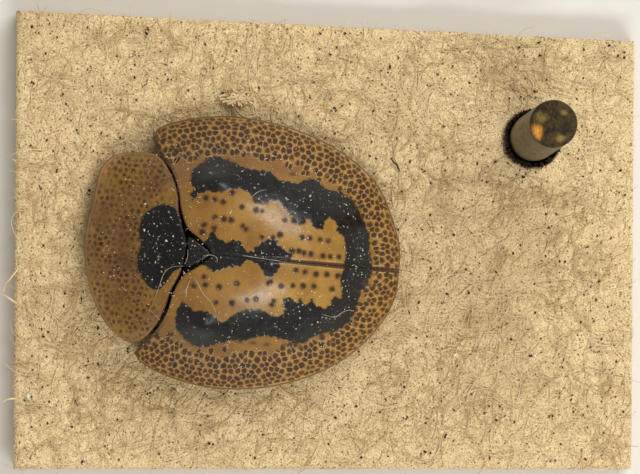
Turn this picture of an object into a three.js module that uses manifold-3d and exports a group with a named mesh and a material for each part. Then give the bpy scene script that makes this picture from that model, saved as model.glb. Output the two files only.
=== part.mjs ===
// A tortoise beetle mounted on a pinned card, at life size.
// Millimetres, +Z up, origin under the middle of the card on its underside.
import * as THREE from "three";
import { mergeVertices } from "three/addons/utils/BufferGeometryUtils.js";
import Module from "manifold-3d";

const wasm = await Module();
wasm.setup();

// Card: a hand-cut sheet, corners anticlockwise from above
const CARD_THICKNESS = 0.5;
const CARD_CORNERS = [[-4.72, -3.479], [4.672, -3.487], [4.72, 3.016], [-4.672, 3.487]];
const PIN_HOLE_RADIUS = 0.435;
const PIN_HOLE_CENTRE = [3.167, 1.531];

// Pin: a thick plain wire, not quite upright, on one side of its hole
const PIN_RADIUS = 0.36;
const PIN_TOP_RADIUS = 0.33;
const PIN_HEIGHT = 6.7;
const PIN_DOME = 0.09;
const PIN_CENTRE = [3.19, 1.55];
const PIN_LEAN = [-0.04, 0.046];
const PIN_SIDES = 28;

// Beetle: x runs to its head, y to its left, z up from the card
const BEETLE_CENTRE = [-1.222, -0.251];
const BEETLE_HEADING = THREE.MathUtils.degToRad(174.7);
const GAP = 0.04;

// Dome over the whole back: an oval that falls to a flat rim
const DOME = { centre: 0.1, front: 2.4, rear: 2.56, half: 2.16, top: 1.8, rim: 0.24, round: 2.6, fall: 1.35 };
const RIM_THICKNESS = 0.13;
const DISC_THICKNESS = 0.45;

// Edge of one elytron: the suture, the base from scutellum to shoulder, the round margin
const SUTURE_FRONT = 0.42;
const APEX = -2.375;
const ELYTRON_CENTRE = [-0.4, 0.75];
const ELYTRON_SIDES = { base: 16, margin: 36, suture: 12 };
const ELYTRON_RINGS = 8;
const BASE_EDGE = [[0.62, 0.2], [0.83, 0.36], [0.95, 0.62], [1.02, 0.9], [1.14, 1.15], [1.36, 1.42]];
const MARGIN = {
  left: [[1.5, 1.6], [1.4, 1.72], [1.06, 1.88], [0.43, 2.01], [-0.17, 2.0], [-0.77, 1.87],
    [-1.35, 1.62], [-1.85, 1.24], [-2.2, 0.78], [-2.36, 0.35]],
  right: [[1.53, 1.66], [1.44, 1.81], [1.02, 1.99], [0.43, 2.09], [-0.19, 2.06], [-0.81, 1.93],
    [-1.45, 1.65], [-1.94, 1.25], [-2.26, 0.64], [-2.36, 0.3]],
};

// Edge of the pronotum, anticlockwise from its foremost point
const PRONOTUM_EDGE = [[2.39, 0.1], [2.31, 0.5], [2.19, 0.84], [2.02, 1.12], [1.8, 1.34], [1.6, 1.44],
  [1.4, 1.39], [1.17, 1.12], [1.06, 0.86], [0.99, 0.6], [0.88, 0.34], [0.82, 0.08], [0.82, -0.14],
  [0.9, -0.36], [0.98, -0.58], [1.03, -0.86], [1.18, -1.16], [1.42, -1.4], [1.7, -1.42],
  [2.02, -1.37], [2.23, -1.18], [2.3, -0.88], [2.33, -0.6], [2.38, -0.3]];
const PRONOTUM_CENTRE = [1.56, 0.02];
const PRONOTUM_SIDES = 52;
const PRONOTUM_RINGS = 6;

// Scutellum: the small triangle between the elytra and the pronotum
const SCUTELLUM_EDGE = [[0.78, 0.2], [0.6, 0.13], [0.46, 0], [0.6, -0.13], [0.78, -0.2], [0.775, 0]];
const SCUTELLUM_CENTRE = [0.68, 0];
const SCUTELLUM_SIDES = 24;
const SCUTELLUM_RINGS = 2;

// Underside: two oval trunk pieces that fill the dome over the legs
const BELLY_HEIGHT = 0.4;
const ABDOMEN = { rear: -2.0, front: -0.42, half: 1.42 };
const THORAX = { rear: -0.38, front: 1.31, half: 1.3 };
const TRUNK_STEPS = 14;
const TRUNK_RINGS = 5;
const TRUNK_END_HALF = 0.02;
const GLUE = { centre: [0.15, 0], radii: [0.62, 0.34], bottom: 0.01, sides: 24, rings: 2 };

// Head, hidden under the front of the pronotum with the mouth turned down
const HEAD = { centre: [1.6, 0, 0.37], radii: [0.27, 0.34, 0.25] };
const MUZZLE = { centre: [1.7, 0, 0.22], radii: [0.15, 0.19, 0.16] };
const MANDIBLES = { x: 1.84, halfSpan: 0.07, z: 0.16, radius: 0.055 };
const EYE = { centre: [1.6, 0.41, 0.38], radii: [0.13, 0.06, 0.18] };

// Antenna: eleven beads, thicker to the tip, swept back under the margin
const ANTENNA_BEADS = 11;
const ANTENNA_ROUTE = [[1.93, 0.14, 0.42], [1.99, 0.5, 0.3], [1.82, 0.84, 0.22], [1.52, 1.06, 0.17],
  [1.2, 1.24, 0.17]];
const ANTENNA_RADIUS = { root: 0.07, tip: 0.105 };

// Legs folded flat beneath: coxa, knee, ankle and claw ends, on the left side
const LEGS = {
  front: [[1.12, 0.42, 0.24], [1.42, 0.92, 0.2], [1.08, 0.9, 0.14], [0.86, 0.62, 0.11]],
  middle: [[0.42, 0.46, 0.2], [0.62, 1.3, 0.2], [0.3, 1.18, 0.14], [0.02, 0.82, 0.11]],
  hind: [[-0.5, 0.36, 0.2], [-0.62, 1.32, 0.19], [-1.0, 1.02, 0.14], [-1.26, 0.62, 0.11]],
};
const LEG_RADIUS = { coxa: 0.14, femur: 0.15, shin: 0.095, tarsus: 0.1, claw: 0.05 };
const CLAW = { reach: 0.12, spread: 0.05, drop: 0.02 };

const COLOURS = {
  card: 0xd5ba8c, pin: 0x55503a, shell: 0xa87a3c, pronotum: 0x8a6030, black: 0x1c1a1a,
  body: 0x2c1d12, leg: 0x8f6230, glue: 0xb89b5e, eye: 0x120f0d,
};

// Height of the dome above the card at a place on the back
function domeReach(x, y) {
  const along = (x - DOME.centre) / (x > DOME.centre ? DOME.front : DOME.rear);
  return Math.min(1, Math.hypot(along, y / DOME.half));
}

function domeHeight(x, y) {
  return DOME.rim + (DOME.top - DOME.rim) * (1 - domeReach(x, y) ** DOME.round) ** DOME.fall;
}

function shellUnderside(x, y) {
  const inner = 1 - domeReach(x, y) ** DOME.round;
  return domeHeight(x, y) - RIM_THICKNESS - (DISC_THICKNESS - RIM_THICKNESS) * inner;
}

function trunkTop(x, y) {
  return shellUnderside(x, y) - GAP;
}

// Smooth closed or open curves through named points
function smoothPoints(points, count, closed) {
  const path = points.map(([x, y]) => new THREE.Vector3(x, y, 0));
  const curve = new THREE.CatmullRomCurve3(path, closed, "centripetal");
  const places = curve.getSpacedPoints(count).map((p) => [p.x, p.y]);
  return closed ? places.slice(0, -1) : places;
}

function ellipsePoints([x, y], [a, b], count) {
  return Array.from({ length: count }, (_, i) => {
    const turn = (2 * Math.PI * i) / count;
    return [x + a * Math.cos(turn), y + b * Math.sin(turn)];
  });
}

function mirrored(points) {
  return points.map(([x, y, ...rest]) => [x, -y, ...rest]).reverse();
}

// A closed plate between two height functions, in rings about a centre
function plate(outline, centre, top, bottom, rings) {
  const sides = outline.length;
  const position = [];
  const index = [];
  const layer = (height) => {
    const start = position.length / 3;
    position.push(centre[0], centre[1], height(centre[0], centre[1]));
    for (let ring = 1; ring <= rings; ring += 1) {
      const scale = ring / rings;
      outline.forEach(([ox, oy]) => {
        const x = centre[0] + (ox - centre[0]) * scale;
        const y = centre[1] + (oy - centre[1]) * scale;
        position.push(x, y, height(x, y));
      });
    }
    return start;
  };
  const upper = layer(top);
  const lower = layer(bottom);
  const at = (start, ring, side) => start + 1 + (ring - 1) * sides + (side % sides);
  for (let side = 0; side < sides; side += 1) {
    index.push(upper, at(upper, 1, side), at(upper, 1, side + 1));
    index.push(lower, at(lower, 1, side + 1), at(lower, 1, side));
    for (let ring = 1; ring < rings; ring += 1) {
      const [a, b] = [at(upper, ring, side), at(upper, ring, side + 1)];
      const [c, d] = [at(upper, ring + 1, side), at(upper, ring + 1, side + 1)];
      index.push(a, c, d, a, d, b);
      const [e, f] = [at(lower, ring, side), at(lower, ring, side + 1)];
      const [g, h] = [at(lower, ring + 1, side), at(lower, ring + 1, side + 1)];
      index.push(e, h, g, e, f, h);
    }
    const [p, q] = [at(upper, rings, side), at(upper, rings, side + 1)];
    const [r, s] = [at(lower, rings, side), at(lower, rings, side + 1)];
    index.push(p, r, s, p, s, q);
  }
  const geometry = new THREE.BufferGeometry();
  geometry.setAttribute("position", new THREE.Float32BufferAttribute(position, 3));
  geometry.setIndex(index);
  return geometry;
}

// Joining of closed pieces into one body
function toSolid(geometry) {
  const bare = geometry.clone();
  bare.deleteAttribute("normal");
  bare.deleteAttribute("uv");
  const merged = mergeVertices(bare, 1e-5);
  return new wasm.Manifold(new wasm.Mesh({
    numProp: 3,
    vertProperties: new Float32Array(merged.attributes.position.array),
    triVerts: new Uint32Array(merged.index.array),
  }));
}

function joined(geometries) {
  const whole = geometries.map(toSolid).reduce((sum, piece) => sum.add(piece));
  const largest = whole.decompose().sort((a, b) => b.volume() - a.volume())[0];
  const mesh = largest.getMesh();
  const geometry = new THREE.BufferGeometry();
  geometry.setAttribute("position", new THREE.Float32BufferAttribute(mesh.vertProperties, 3));
  geometry.setIndex(new THREE.Uint32BufferAttribute(mesh.triVerts, 1));
  return geometry;
}

function ellipsoid([x, y, z], [a, b, c], around = 14, along = 9) {
  return new THREE.SphereGeometry(1, around, along).scale(a, b, c).translate(x, y, z);
}

// A tapered length with rounded ends, from one place to the other
function limb(from, to, startRadius, endRadius, sides = 8) {
  const start = new THREE.Vector3(...from);
  const end = new THREE.Vector3(...to);
  const length = start.distanceTo(end);
  const profile = [[0, -startRadius], [startRadius * 0.72, -startRadius * 0.7], [startRadius, 0],
    [(startRadius + endRadius) * 0.52, length * 0.5], [endRadius, length],
    [endRadius * 0.72, length + endRadius * 0.7], [0, length + endRadius]];
  const geometry = new THREE.LatheGeometry(profile.map(([r, h]) => new THREE.Vector2(r, h)), sides);
  const up = new THREE.Vector3(0, 1, 0);
  const lean = new THREE.Quaternion().setFromUnitVectors(up, end.clone().sub(start).normalize());
  return geometry.applyQuaternion(lean).translate(start.x, start.y, start.z);
}

function addMesh(group, name, geometry, colour, roughness = 0.35, metalness = 0) {
  const material = new THREE.MeshStandardMaterial({ color: colour, roughness, metalness });
  const mesh = new THREE.Mesh(geometry, material);
  mesh.name = name;
  group.add(mesh);
  return mesh;
}

// Card and pin
function cardGeometry() {
  const shape = new THREE.Shape(CARD_CORNERS.map(([x, y]) => new THREE.Vector2(x, y)));
  const hole = new THREE.Path();
  hole.absarc(...PIN_HOLE_CENTRE, PIN_HOLE_RADIUS, 0, 2 * Math.PI, true);
  shape.holes.push(hole);
  return new THREE.ExtrudeGeometry(shape, { depth: CARD_THICKNESS, bevelEnabled: false, curveSegments: 24 });
}

function pinGeometry() {
  const profile = [[0, 0], [PIN_RADIUS, 0], [PIN_RADIUS, CARD_THICKNESS],
    [PIN_TOP_RADIUS, PIN_HEIGHT - PIN_DOME], [PIN_TOP_RADIUS * 0.75, PIN_HEIGHT - PIN_DOME * 0.3],
    [0, PIN_HEIGHT]];
  const turned = new THREE.LatheGeometry(profile.map(([r, h]) => new THREE.Vector2(r, h)), PIN_SIDES);
  const lean = new THREE.Matrix4().makeShear(0, 0, 0, 0, PIN_LEAN[0] / PIN_HEIGHT, PIN_LEAN[1] / PIN_HEIGHT);
  return turned.rotateX(Math.PI / 2).applyMatrix4(lean);
}

// Back plates
function elytronGeometry(side) {
  const sides = ELYTRON_SIDES;
  const base = smoothPoints([[SUTURE_FRONT, GAP / 2], ...BASE_EDGE], sides.base, false);
  const margin = smoothPoints([...MARGIN[side], [APEX, GAP / 2]], sides.margin, false);
  const suture = Array.from({ length: sides.suture - 1 }, (_, i) => [
    THREE.MathUtils.lerp(APEX, SUTURE_FRONT, (i + 1) / sides.suture), GAP / 2,
  ]);
  const outline = [...base, ...margin, ...suture];
  const [x, y] = ELYTRON_CENTRE;
  return side === "left"
    ? plate(outline, [x, y], domeHeight, shellUnderside, ELYTRON_RINGS)
    : plate(mirrored(outline), [x, -y], domeHeight, shellUnderside, ELYTRON_RINGS);
}

function pronotumGeometry() {
  const outline = smoothPoints(PRONOTUM_EDGE, PRONOTUM_SIDES, true);
  return plate(outline, PRONOTUM_CENTRE, domeHeight, shellUnderside, PRONOTUM_RINGS);
}

function scutellumGeometry() {
  const outline = smoothPoints(SCUTELLUM_EDGE, SCUTELLUM_SIDES, true);
  return plate(outline, SCUTELLUM_CENTRE, domeHeight, shellUnderside, SCUTELLUM_RINGS);
}

// Trunk: flat-bellied pieces cut off square where they meet
function trunkOutline({ rear, front, half }, wideEnd) {
  const side = Array.from({ length: TRUNK_STEPS + 1 }, (_, i) => {
    const t = i / TRUNK_STEPS;
    const x = rear + (front - rear) * t;
    const reach = wideEnd === "front" ? t : 1 - t;
    return [x, half * Math.sqrt(1 - (1 - reach) ** 2) + TRUNK_END_HALF];
  });
  return [...mirrored(side).reverse(), ...side.reverse()];
}

function trunkGeometry(piece, wideEnd) {
  const outline = trunkOutline(piece, wideEnd);
  const centre = [(piece.rear + piece.front) / 2, 0];
  return plate(outline, centre, trunkTop, () => BELLY_HEIGHT, TRUNK_RINGS);
}

function glueGeometry() {
  const outline = ellipsePoints(GLUE.centre, GLUE.radii, GLUE.sides);
  return plate(outline, GLUE.centre, () => BELLY_HEIGHT - GAP, () => GLUE.bottom, GLUE.rings);
}

// Head and feelers
function headGeometry() {
  const { x, halfSpan, z, radius } = MANDIBLES;
  return joined([
    ellipsoid(HEAD.centre, HEAD.radii, 20, 12),
    ellipsoid(MUZZLE.centre, MUZZLE.radii),
    limb([x, halfSpan, z], [x, -halfSpan, z], radius, radius),
  ]);
}

function antennaGeometry(sign) {
  const places = ANTENNA_ROUTE.map(([x, y, z]) => new THREE.Vector3(x, y * sign, z));
  const route = new THREE.CatmullRomCurve3(places).getSpacedPoints(ANTENNA_BEADS);
  const radiusAt = (i) => THREE.MathUtils.lerp(ANTENNA_RADIUS.root, ANTENNA_RADIUS.tip, i / ANTENNA_BEADS);
  return joined(route.slice(1).map((place, i) => limb(
    route[i].toArray(), place.toArray(), radiusAt(i) * 0.8, radiusAt(i + 1), 7,
  )));
}

function legGeometry(points, sign) {
  const [coxa, knee, ankle, toe] = points.map(([x, y, z]) => [x, y * sign, z]);
  const r = LEG_RADIUS;
  const claw = (spread) => {
    const tip = [toe[0] - CLAW.reach, toe[1] + spread, toe[2] - CLAW.drop];
    return limb(toe, tip, r.claw, r.claw * 0.6, 6);
  };
  return joined([
    limb(coxa, knee, r.coxa, r.femur * 0.8),
    limb(knee, ankle, r.shin, r.shin),
    limb(ankle, toe, r.tarsus * 0.8, r.tarsus),
    claw(CLAW.spread),
    claw(-CLAW.spread),
  ]);
}

// Assembly
const model = new THREE.Group();
addMesh(model, "card", cardGeometry(), COLOURS.card, 0.95);
addMesh(model, "pin", pinGeometry(), COLOURS.pin, 0.4, 0.8).position.set(...PIN_CENTRE, 0);

const beetle = new THREE.Group();
beetle.position.set(...BEETLE_CENTRE, CARD_THICKNESS);
beetle.rotation.z = BEETLE_HEADING;
model.add(beetle);

addMesh(beetle, "glue_drop", glueGeometry(), COLOURS.glue);
addMesh(beetle, "abdomen", trunkGeometry(ABDOMEN, "front"), COLOURS.body);
addMesh(beetle, "thorax", trunkGeometry(THORAX, "rear"), COLOURS.body);
addMesh(beetle, "pronotum", pronotumGeometry(), COLOURS.pronotum);
addMesh(beetle, "scutellum", scutellumGeometry(), COLOURS.black);
addMesh(beetle, "head", headGeometry(), COLOURS.body);
for (const [side, sign] of [["left", 1], ["right", -1]]) {
  addMesh(beetle, `elytron_${side}`, elytronGeometry(side), COLOURS.shell);
  const [x, y, z] = EYE.centre;
  addMesh(beetle, `eye_${side}`, ellipsoid([x, y * sign, z], EYE.radii, 12, 8), COLOURS.eye);
  addMesh(beetle, `antenna_${side}`, antennaGeometry(sign), COLOURS.leg);
  for (const [pair, points] of Object.entries(LEGS)) {
    addMesh(beetle, `leg_${pair}_${side}`, legGeometry(points, sign), COLOURS.leg);
  }
}

export default model;
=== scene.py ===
"""A tortoise beetle gummed to a pinned card, dressed for a museum view.

Lengths are millimetres in the classes and become metres where a mesh is made.
Beetle places use its own frame: x to the head, y to its left, z up from the card's face.
"""

import logging
import math
from dataclasses import dataclass, field
from enum import Enum

import bpy
import numpy as np
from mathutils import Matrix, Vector, noise


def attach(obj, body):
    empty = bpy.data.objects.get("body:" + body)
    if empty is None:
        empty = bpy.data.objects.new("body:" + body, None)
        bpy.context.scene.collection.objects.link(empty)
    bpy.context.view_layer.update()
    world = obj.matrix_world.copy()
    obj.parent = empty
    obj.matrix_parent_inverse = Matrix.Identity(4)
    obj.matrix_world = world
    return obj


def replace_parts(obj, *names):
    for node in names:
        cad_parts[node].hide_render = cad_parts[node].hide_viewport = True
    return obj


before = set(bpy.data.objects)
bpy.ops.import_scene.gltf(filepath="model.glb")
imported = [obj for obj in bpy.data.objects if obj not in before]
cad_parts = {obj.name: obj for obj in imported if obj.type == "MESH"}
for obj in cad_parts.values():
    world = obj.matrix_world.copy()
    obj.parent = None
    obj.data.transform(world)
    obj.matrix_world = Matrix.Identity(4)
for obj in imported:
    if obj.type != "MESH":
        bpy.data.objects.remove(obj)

MM = 0.001
SEED = 20
SECTION = 6
LOOP_POINTS = 260
LOG = logging.getLogger("beetle")

Points = list[tuple[float, float]]
Array = np.ndarray


class Side(Enum):
    """The two sides of the beetle; the value is the sign of y."""

    LEFT = 1
    RIGHT = -1


# Markings, painted glints and a painted shadow, as pixel places in the photograph's 640 by 474 frame

PRONOTUM_SPOT_PX = [(170.5, 205.5), (160, 204.5), (151.6, 208.5), (145.2, 213), (140.5, 221.5),
                    (139, 234.2), (140.5, 244.7), (137.2, 257.3), (138, 270), (143, 279), (151.6, 288.9),
                    (160, 288.9), (167.3, 280.5), (174.7, 271), (185.2, 266.8), (189.4, 257), (189.6, 242),
                    (186.5, 230), (180.5, 221.5), (177, 211)]
BAND_RIGHT_PX = [(190, 180), (192, 170), (197, 165.5), (209, 158.4), (215.6, 156.2), (222, 157.6),
                 (237, 164), (246, 168), (260, 170.6), (270, 172), (281, 180.4), (290, 181.5), (300, 182.2),
                 (309, 178.5), (316, 180), (326, 188.5), (340, 192), (353, 201.5), (360, 214.5), (366, 224),
                 (369, 237), (370, 252), (371, 276), (345, 272), (346, 250), (344.7, 239.5), (337.6, 230.8),
                 (335.4, 223), (332, 219), (328, 218.3), (324.6, 223), (322.4, 228.6), (315, 227.6),
                 (311, 223), (307, 219), (304, 223), (295, 222.7), (290, 213.5), (284.5, 209), (281, 203.7),
                 (277, 200.4), (271.5, 201), (266, 203.7), (254, 202.6), (252, 196), (246.5, 192.3),
                 (238.4, 188.3), (232, 189), (224, 192), (215, 191.5), (205, 192), (197, 195), (193.4, 201),
                 (191.2, 195), (195.5, 187), (190.5, 184)]
BAND_LEFT_PX = [(175.4, 324), (176, 329), (185, 339.4), (196, 346.4), (204, 347.2), (220, 343),
                (235, 340.5), (250, 340), (256, 337), (270, 336), (283.4, 339.4), (296.4, 344.2),
                (304, 343), (309.4, 339.4), (319, 335), (340, 329.6), (347.4, 324), (352, 317.7),
                (357.7, 304.7), (361.5, 291.6), (366.4, 286), (369, 278.6), (373, 268), (352, 262),
                (345, 266), (342.5, 272), (340.3, 281), (342, 290.6), (341.4, 298), (336.5, 297),
                (332, 299), (330, 304.7), (323.5, 308), (315, 303.6), (312, 298), (309, 304),
                (303.4, 303.6), (300.7, 298), (297, 303), (293, 300.3), (290, 297), (282.3, 299),
                (284, 306.8), (284, 312), (279, 315.5), (272.5, 316), (267, 313), (263, 309.5),
                (250, 309.5), (238.4, 311.7), (232, 315.5), (226.4, 320.4), (220, 321), (213.4, 315.5),
                (209, 312.8), (200.4, 311), (193, 310), (187.4, 305.7), (183, 301), (180, 303), (176, 314)]
SUTURE_PATCH_PX = [(197.9, 236), (203, 243), (207, 238), (212.6, 230.4), (216.8, 235.9), (225.2, 241.5),
                   (235.7, 240.2), (242.5, 244), (244.6, 250), (252, 251.5), (255.1, 247.9), (260, 244.3),
                   (266.3, 240.1), (274.7, 238.6), (278.9, 244.7), (283.7, 249.3), (292.6, 256),
                   (290.5, 260), (281, 261.5), (278.9, 268.3), (270.5, 277.6), (264, 275.2), (261.4, 268.3),
                   (255.7, 263.2), (248.4, 260.5), (242.1, 265), (227.3, 267.4), (214.7, 271.6),
                   (206.3, 267.4), (199, 261)]
PITS_PX = [(285, 220), (294, 221), (303, 222), (302, 237.5), (310, 238), (320, 239.5), (328, 240.5),
           (292, 251), (299, 251), (311, 254), (323, 256), (330, 256.5), (339, 257), (262, 237),
           (273, 237.5), (280, 234.5), (256, 210), (262, 211), (242, 207), (215, 199), (223, 202),
           (206, 198), (232, 192.5), (215, 217), (224, 219), (231, 220), (204, 225), (214, 228), (202, 232),
           (243, 226), (246, 229), (296, 270), (305, 272), (316, 274), (327, 274.5), (338, 276), (281, 286),
           (293, 285.5), (303, 286), (314, 286.5), (332, 289), (247, 300), (256, 299), (274, 301),
           (269, 283), (272, 304.5), (219, 287), (204, 277), (232, 303), (193.7, 285.7), (205.2, 284.7),
           (236.8, 283.6), (215.8, 302.6), (270.5, 281.5), (304, 253)]
PIN_GLINTS_PX = [(537, 131), (541, 118), (561, 138), (565, 113)]
SMUDGES_PX = [(240, 341.5), (253, 342.7), (266.7, 344.5), (284, 345), (292.6, 174.3), (351, 308),
              (300, 347)]
FLAKES_PX = [(180, 249), (167, 251), (144, 230), (145, 204), (167, 157), (355, 299), (199, 172), (212, 168),
             (186, 306), (202, 322), (232, 331), (262, 318), (300, 318), (318, 322), (155, 262), (158, 226),
             (173, 236), (152, 279), (166, 241), (284, 247), (361, 259), (348, 214), (310, 196), (226, 181)]
HAIRS_PX = [[(184, 266), (172, 267), (165, 272), (159, 287), (152, 306)],
            [(150, 309), (154, 314), (160, 320)],
            [(190, 278), (193, 276), (203, 293), (213, 305), (219, 325)],
            [(190, 280), (187, 288), (186, 297)],
            [(203, 256), (211, 255), (217, 258), (217, 263)],
            [(322, 314), (335, 317), (343, 312), (349, 310), (354, 311)],
            [(253, 196), (258, 192), (265, 190)],
            [(178, 157), (176, 161), (174, 165)],
            [(243, 255.5), (262, 258.5), (281, 261)],
            [(188, 250), (187.5, 258), (185, 264)]]
CARD_THREADS_PX = [[(19, 268), (9.7, 279.4), (5.1, 284.5), (3.6, 291.6)], [(3, 294.2), (9, 298), (17, 303.5)],
                   [(16, 398.4), (7.1, 399.3), (3.6, 401.8)]]
DARK_THREADS_PX = [[(390.5, 158), (394, 162.5), (397, 165), (399.5, 172)]]
FLECKS_PX = [(28.6, 396.7, 3.6), (455, 355, 1.7), (535, 355, 1.6), (543, 440, 1.6), (103, 365, 1.8)]
# Dark flecks; the one at (242, 105) is a painted shadow under the lint tuft.
DARK_FLECKS_AND_TUFT_SHADOW_PX = [(147, 31, 4.2), (242, 105, 2.2), (390, 67, 2.4), (98, 328, 2.0), (596, 300, 1.8)]
TUFT_PX = (239.0, 98.5)


@dataclass(frozen=True)
class Photograph:
    """How the photograph was taken: straight down on the card, with a 3 mm scale bar."""

    width_px: float = 640.0
    height_px: float = 474.0
    px_per_mm: float = 66.0
    centre: tuple[float, float] = (-0.0555, 0.0425)
    camera_height: float = 65.2

    def to_row(self, places: Points, height: Array | float) -> Array:
        """Where pixels fall on the part.

        Args:
            places: pixel places.
            height: millimetres above the card's face at each place.

        Returns:
            x and y in the row's frame, in millimetres.
        """
        px = np.asarray(places, float)
        shrink = (self.camera_height - np.asarray(height)) / self.camera_height
        x = (px[:, 0] - self.width_px / 2) / self.px_per_mm * shrink + self.centre[0]
        y = (self.height_px / 2 - px[:, 1]) / self.px_per_mm * shrink + self.centre[1]
        return np.stack([x, y], 1)


@dataclass(frozen=True)
class Stance:
    """Where the beetle lies on the card."""

    centre: tuple[float, float] = (-1.222, -0.251)
    heading: float = math.radians(174.7)
    card_face: float = 0.5

    def to_row(self, places: Array) -> Array:
        """Beetle places, n by 3 in millimetres, in the row's frame.

        Args:
            places: n by 3 places, in millimetres.

        Returns:
            The same places in the row's frame.
        """
        c, s = math.cos(self.heading), math.sin(self.heading)
        x = self.centre[0] + c * places[:, 0] - s * places[:, 1]
        y = self.centre[1] + s * places[:, 0] + c * places[:, 1]
        return np.stack([x, y, places[:, 2] + self.card_face], 1)

    def from_row(self, places: Array) -> Array:
        """Row places, n by 2 in millimetres, in the beetle's frame.

        Args:
            places: n by 2 places, in millimetres.

        Returns:
            The same places in the beetle's frame.
        """
        c, s = math.cos(self.heading), math.sin(self.heading)
        dx, dy = places[:, 0] - self.centre[0], places[:, 1] - self.centre[1]
        return np.stack([c * dx + s * dy, -s * dx + c * dy], 1)


@dataclass(frozen=True)
class Dome:
    """The domed back: an oval that falls to a flat rim."""

    centre: float = 0.1
    front: float = 2.4
    rear: float = 2.56
    half: float = 2.16
    top: float = 1.8
    rim: float = 0.24
    round: float = 2.6
    fall: float = 1.35
    rim_thickness: float = 0.13
    disc_thickness: float = 0.45

    def _inner(self, x: Array, y: Array) -> Array:
        """One at the top of the dome and none at its rim.

        Args:
            x: places along the beetle.
            y: places across it.

        Returns:
            A share for each place.
        """
        along = (x - self.centre) / np.where(x > self.centre, self.front, self.rear)
        reach = np.minimum(1, np.hypot(along, y / self.half))
        return 1 - reach**self.round

    def height(self, x: Array, y: Array) -> Array:
        """Height of the back above the card."""
        return self.rim + (self.top - self.rim) * self._inner(x, y) ** self.fall

    def underside(self, x: Array, y: Array) -> Array:
        """Height of the shell's underside above the card."""
        thick = self.rim_thickness + (self.disc_thickness - self.rim_thickness) * self._inner(x, y)
        return self.height(x, y) - thick


PHOTO = Photograph()
STANCE = Stance()
DOME = Dome()


# Curves, distances and patterns


def smooth_path(points: Points, count: int, closed: bool) -> Array:
    """A smooth curve through points, evenly spaced along its length.

    Args:
        points: places that the curve passes through.
        count: how many places to return.
        closed: whether the curve returns to its start.

    Returns:
        count places on the curve.
    """
    p = np.asarray(points, float)
    ends = (p[-1:], p[:2]) if closed else (2 * p[:1] - p[1:2], 2 * p[-1:] - p[-2:-1])
    p = np.concatenate([ends[0], p, ends[1]])
    t = np.linspace(0, 1, 24, endpoint=False)[:, None]
    dense = []
    for a, b, c, d in zip(p[:-3], p[1:-2], p[2:-1], p[3:]):
        k = [np.sqrt(np.linalg.norm(v)) + 1e-9 for v in (b - a, c - b, d - c)]
        m1 = (c - b + k[1] * ((b - a) / k[0] - (c - a) / (k[0] + k[1])))
        m2 = (c - b + k[1] * ((d - c) / k[2] - (d - b) / (k[1] + k[2])))
        dense.append((2 * b - 2 * c + m1 + m2) * t**3 + (3 * c - 3 * b - 2 * m1 - m2) * t**2 + m1 * t + b)
    dense = np.concatenate([*dense, p[-2:-1]])
    run = np.concatenate([[0], np.cumsum(np.linalg.norm(np.diff(dense, axis=0), axis=1))])
    wanted = np.linspace(0, run[-1], count, endpoint=not closed)
    return np.stack([np.interp(wanted, run, dense[:, i]) for i in range(dense.shape[1])], 1)


def nearest(places: Array, path: Array) -> tuple[Array, Array]:
    """Distance from places to a dense path, and the length along it of the nearest point.

    Args:
        places: n by 2 places.
        path: m by 2 dense path.

    Returns:
        n distances and n lengths along the path.
    """
    run = np.concatenate([[0], np.cumsum(np.linalg.norm(np.diff(path, axis=0), axis=1))])
    gap, at = np.empty(len(places)), np.empty(len(places))
    for start in range(0, len(places), 8192):
        part = slice(start, start + 8192)
        d2 = ((places[part, None, :] - path[None]) ** 2).sum(2)
        best = d2.argmin(1)
        gap[part], at[part] = np.sqrt(d2[np.arange(len(best)), best]), run[best]
    return gap, at


def inside(places: Array, loop: Array) -> Array:
    """Signed distance to a closed loop, positive within it.

    Args:
        places: n by 2 places.
        loop: m by 2 places round the loop.

    Returns:
        n distances.
    """
    gap, _ = nearest(places, np.concatenate([loop, loop[:1]]))
    x, y = places[:, 0], places[:, 1]
    within = np.zeros(len(places), bool)
    for (ax, ay), (bx, by) in zip(loop, np.roll(loop, -1, axis=0)):
        if ay != by:
            within ^= ((ay > y) != (by > y)) & (x < (bx - ax) * (y - ay) / (by - ay) + ax)
    return np.where(within, gap, -gap)


def step(value: Array, low: float, high: float) -> Array:
    """A smooth step from 0 at low to 1 at high."""
    t = np.clip((value - low) / (high - low), 0, 1)
    return t * t * (3 - 2 * t)


def ridge(value: Array, middle: float, width: float) -> Array:
    """A soft ridge: 1 at its middle, falling away over its width."""
    return np.exp(-(((value - middle) / width) ** 2))


def wander(places: Array, scale: float, offset: float = 0.0) -> Array:
    """Smooth noise between about -1 and 1 at 2-D places, with features about 1/scale wide."""
    return np.array([noise.noise(Vector((x * scale + offset, y * scale, offset))) for x, y in places])


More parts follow.
